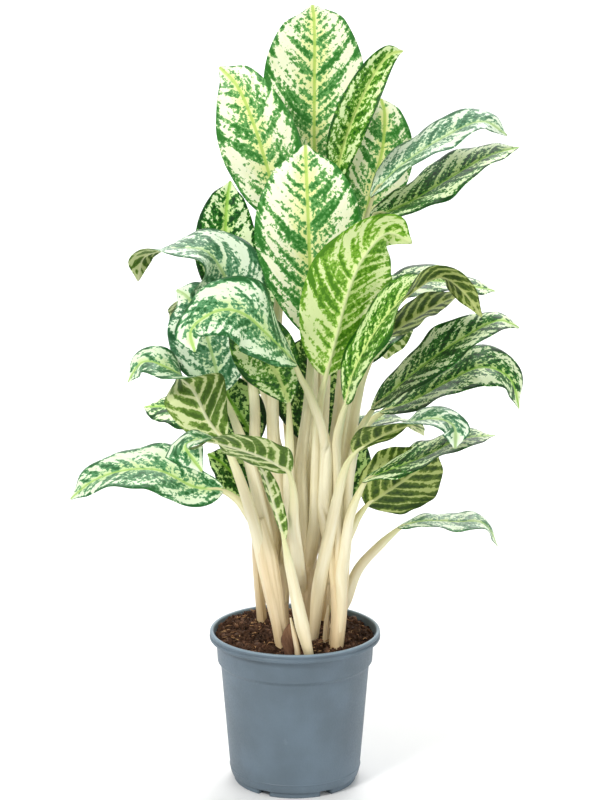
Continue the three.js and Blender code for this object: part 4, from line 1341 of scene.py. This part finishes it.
def blade_outline(leaf, t):
    """Half the width along the midrib, as a share: widest below the middle, with a drawn-out tip."""
    place = t ** (math.log(0.5) / math.log(leaf.get("widest", WIDEST_AT)))
    whole = np.maximum(0.0, np.sin(math.pi * place)) ** 0.64
    drawn_tip = 1 - 0.45 * smooth_step(0.88, 0.985, t)
    return np.maximum(0.012, whole * drawn_tip)


def blade_frame(leaf, t):
    """Place, sideways and upward directions along the midrib, and its length."""
    curve = SmoothCurve(leaf["rib"])
    heading = curve.heading(t)
    side = unit(np.cross(heading, spread(leaf["faces"], t)))
    return curve.at(t), side, np.cross(side, heading), curve.length


def blade_surface(leaf, t, v):
    """Points of the blade's middle surface, the direction it rises in, and its pattern coordinates."""
    middle, side, above, length = blade_frame(leaf, t)
    outline = blade_outline(leaf, t)[:, None]
    reach = 0.5 * leaf["width"] * outline
    fold = math.radians(leaf["cup"])
    ripple = 0.035 * np.sin(13 * t[:, None] + 2.2 * np.sign(v) + leaf["width"])
    ripple = ripple + 0.012 * np.sin(29 * t[:, None] + 4 * np.sign(v) + 3 * leaf["number"])
    rise = reach * (np.abs(v) * math.sin(fold) - 0.09 * v * v) + ripple * leaf["width"] * v * v * outline
    across = v * reach
    vein = t[:, None] * length - VEIN_SLANT * np.abs(across) - VEIN_BOW * across**2
    swell = np.abs(np.sin(math.pi * vein / VEIN_SPACING)) ** 0.7
    quilt = 0.42 * swell * np.sin(math.pi * np.clip(np.abs(v), 0, 1)) ** 0.8
    channel = -0.7 * np.exp(-((across / 1.9) ** 2)) * smooth_step(1.02, 0.6, t)[:, None]
    rise = rise + (quilt + channel) * outline
    sideways = side[:, None] * (across * math.cos(fold))[..., None]
    surface = middle[:, None] + sideways + above[:, None] * rise[..., None]
    pattern = np.stack(np.broadcast_arrays(vein + 400 * leaf["number"], across), -1)
    return surface, above[:, None], pattern, across


def add_blade(skins, leaf):
    """The blade as one closed skin: columns run over the upper side and back along the underside."""
    t = 0.003 + 0.994 * np.linspace(0, 1, BLADE_ROWS)
    bow = np.linspace(-1, 1, 2 * HALF_COLUMNS + 1)
    v = (np.sign(bow) * np.abs(bow) ** 1.15)[None]
    surface, above, pattern, across = blade_surface(leaf, t, v)
    edge = np.sqrt(np.clip(1 - v**4, 0, 1))
    taper = smooth_step(1.03, 0.5, t)[:, None]
    upper = surface + above * (0.10 + 0.22 * edge)[..., None]
    ridge = 1.9 * np.exp(-((across / (0.9 + 1.3 * taper)) ** 2)) * taper
    under = surface - above * (0.10 + 0.22 * edge + ridge)[..., None]
    rings = np.concatenate([upper, under[:, ::-1]], 1) * MM
    place = np.stack(np.broadcast_arrays(0.5 + 0.5 * v, t[:, None]), -1)
    columns = v.shape[1]
    slots = [0] * (columns - 1) + [1] * (columns + 1)
    place = np.concatenate([place, place[:, ::-1]], 1)
    pattern = np.concatenate([pattern, pattern[:, ::-1]], 1)
    skins.add(rings, place, pattern, slots)


print("points on one side of a blade:", BLADE_ROWS * (2 * HALF_COLUMNS + 1))

# %% [markdown]
# The petiole is a ribbed stalk with a groove on its upper side. Its foot is a wide sheath that comes out of
# the cane, so the curve starts deep inside the cane and no cut end shows.

# %% Petiole
FOOT_RADIUS = 6.4
NECK_RADIUS = 4.6
SHEATHED_LENGTH = 50


def grooved_section(angle, t):
    """Flat and grooved on the side that faces up, with low ribs; the sheath at the foot is wider."""
    groove = 0.34 * np.exp(-((((angle + math.pi) % (2 * math.pi) - math.pi) / 0.55) ** 2)) * (1 - 0.5 * t)
    ribs = 0.018 * np.cos(12 * angle)
    sheath = (1 + 0.16 * np.abs(np.sin(angle)) * (1 - smooth_step(0.2, 0.85, t)))
    return sheath * (1 - groove + ribs)


def heart_of_stem(name, height):
    """The point of a stem's centre line at a height."""
    path = np.array(next(stem["path"] for stem in STEMS if stem["name"] == name), float)
    return np.array([np.interp(height, path[:, 2], path[:, axis]) for axis in range(3)])


def add_petiole(skins, leaf):
    """The stalk, from deep inside its cane to a thick midrib under the blade."""
    middle, _, above, _ = blade_frame(leaf, np.array([0.02, 0.12]))
    points = [*np.array(leaf["petiole"], float), *(middle - above * 1.2)]
    if "stem" in leaf:
        foot = points[0]
        low = heart_of_stem(leaf["stem"], foot[2] - SHEATHED_LENGTH)
        lean = np.clip(foot - heart_of_stem(leaf["stem"], foot[2]), -9, 9) * [1, 1, 0]
        deep = heart_of_stem(leaf["stem"], max(156, low[2] - 35))
        points = [deep + 0.25 * lean, low + 0.5 * lean, *points]
    radii = [4.0, FOOT_RADIUS, 0.5 * (FOOT_RADIUS + NECK_RADIUS), NECK_RADIUS, 1.2]
    up = np.array([0.5 * x for x in leaf["faces"][0]]) + [0.01, 0.0, 0.35]
    add_tube(skins, SmoothCurve(points), radii, 60, 36, 2, grooved_section, tuple(up), 130 * leaf["number"])


print("petiole ready")

# %% [markdown]
# Blade and petiole grow as one, so they are one piece with three materials: upper side, underside and
# stalk. Leaves deep in the clump get darker looks than those in the open.

# %% All the leaves
def make_leaf(leaf):
    """Blade and petiole as one piece, in the materials of its own place in the plant."""
    skins = Skins()
    add_blade(skins, leaf)
    add_petiole(skins, leaf)
    look = leaf.get("look", "leaf")
    under = leaf.get("under", "dark" if look == "dark" else "leaf")
    stalk = SHADED_STALK if leaf.get("shaded") else STALK
    piece = skins.build(leaf["name"] + "_piece", [UPPER[look], UNDER[under], stalk])
    stand_for(piece, leaf["name"])
    return piece


LEAF_PIECES = [make_leaf(leaf) for leaf in LEAVES]
print("leaves:", sum(len(piece.data.polygons) for piece in LEAF_PIECES), "faces")

# %% [markdown]
# ## Floor, light and camera
# The plant stands on a plain pale floor. It curves up into a backdrop far behind, because a flat floor
# would end in a hard line.

# %% Stage
def make_stage():
    """A floor that curves up into a backdrop."""
    floor_material, tree, shader = new_material("pale floor", Roughness=0.6)
    place = add_node(tree, "TexCoord").outputs["Object"]
    cloud = use_group(tree, MOTTLE, Place=place, Cloud_Size=1.2, Grain_Size=60.0).outputs["Cloud"]
    body = blend_colours(tree, cloud, colour(240, 240, 240), colour(246, 246, 246))
    tree.links.new(body, shader.inputs["Base Color"])
    turn = np.linspace(0, math.pi / 2, 13)
    bend = [(-9.0, 0.0)] + [(3.0 + 1.5 * math.sin(a), 1.5 - 1.5 * math.cos(a)) for a in turn]
    bend.append((4.5, 8.0))
    points = [(x, y, z) for x in (-8.0, 8.0) for y, z in bend]
    size = len(bend)
    faces = [(k, k + size, k + size + 1, k + 1) for k in range(size - 1)]
    mesh = bpy.data.meshes.new("floor")
    mesh.from_pydata(points, [], faces)
    mesh.polygons.foreach_set("use_smooth", [True] * len(faces))
    mesh.materials.append(floor_material)
    floor = bpy.data.objects.new("floor", mesh)
    bpy.context.collection.objects.link(floor)
    return floor


make_stage()
print("stage placed")

# %% [markdown]
# Large soft lamps and a bright sky give the even light of a studio: a key from the upper left in front, a
# fill from the right, a rim from behind, and a lamp for the backdrop. One hard lamp would hide half of the
# leaves in shade.

# %% Lamps and sky
def add_lamp(name, place, target, size, power, tint=(1, 1, 1)):
    """A round soft lamp that shines at target."""
    lamp = bpy.data.lights.new(name, "AREA")
    lamp.shape = "DISK"
    lamp.size = size
    lamp.energy = power
    lamp.color = tint
    piece = bpy.data.objects.new(name, lamp)
    piece.location = place
    way = np.array(target, float) - np.array(place, float)
    flat = math.hypot(way[0], way[1])
    piece.rotation_euler = (math.atan2(flat, -way[2]), 0, math.atan2(way[1], way[0]) - math.pi / 2)
    bpy.context.collection.objects.link(piece)
    return piece


HEART = (0.0, 0.0, 0.42)
add_lamp("key", (-1.3, -1.7, 1.9), HEART, 0.7, 44, (1.0, 0.99, 0.97))
add_lamp("fill", (1.9, -1.5, 1.0), HEART, 1.4, 16, (0.97, 0.99, 1.0))
add_lamp("rim", (0.6, 1.9, 1.9), HEART, 1.2, 16)
add_lamp("backdrop", (0.0, 1.9, 3.4), (0.0, 4.5, 1.0), 2.5, 150)
world = bpy.data.worlds.new("studio")
bpy.context.scene.world = world
world.use_nodes = True
sky = world.node_tree.nodes["Background"]
sky.inputs["Color"].default_value = (1, 1, 1, 1)
sky.inputs["Strength"].default_value = 0.5
bpy.context.scene.view_settings.view_transform = "Standard"
print(len(bpy.data.lights), "lamps placed")

# %% [markdown]
# A long lens two metres away keeps the leaves in front from looking too large. It looks down a little, so
# the pot's rim shows as a narrow oval.

# %% Camera
CAMERA_PLACE = (0.005, -2.0, 0.805)
LOOK_DOWN = 11.8
lens = bpy.data.cameras.new("camera")
lens.lens = 94.5
lens.sensor_width = 36
lens.clip_start = 0.05
camera = bpy.data.objects.new("camera", lens)
camera.location = CAMERA_PLACE
camera.rotation_euler = (math.radians(90 - LOOK_DOWN), 0, 0)
bpy.context.collection.objects.link(camera)
bpy.context.scene.camera = camera
print("camera at", CAMERA_PLACE)
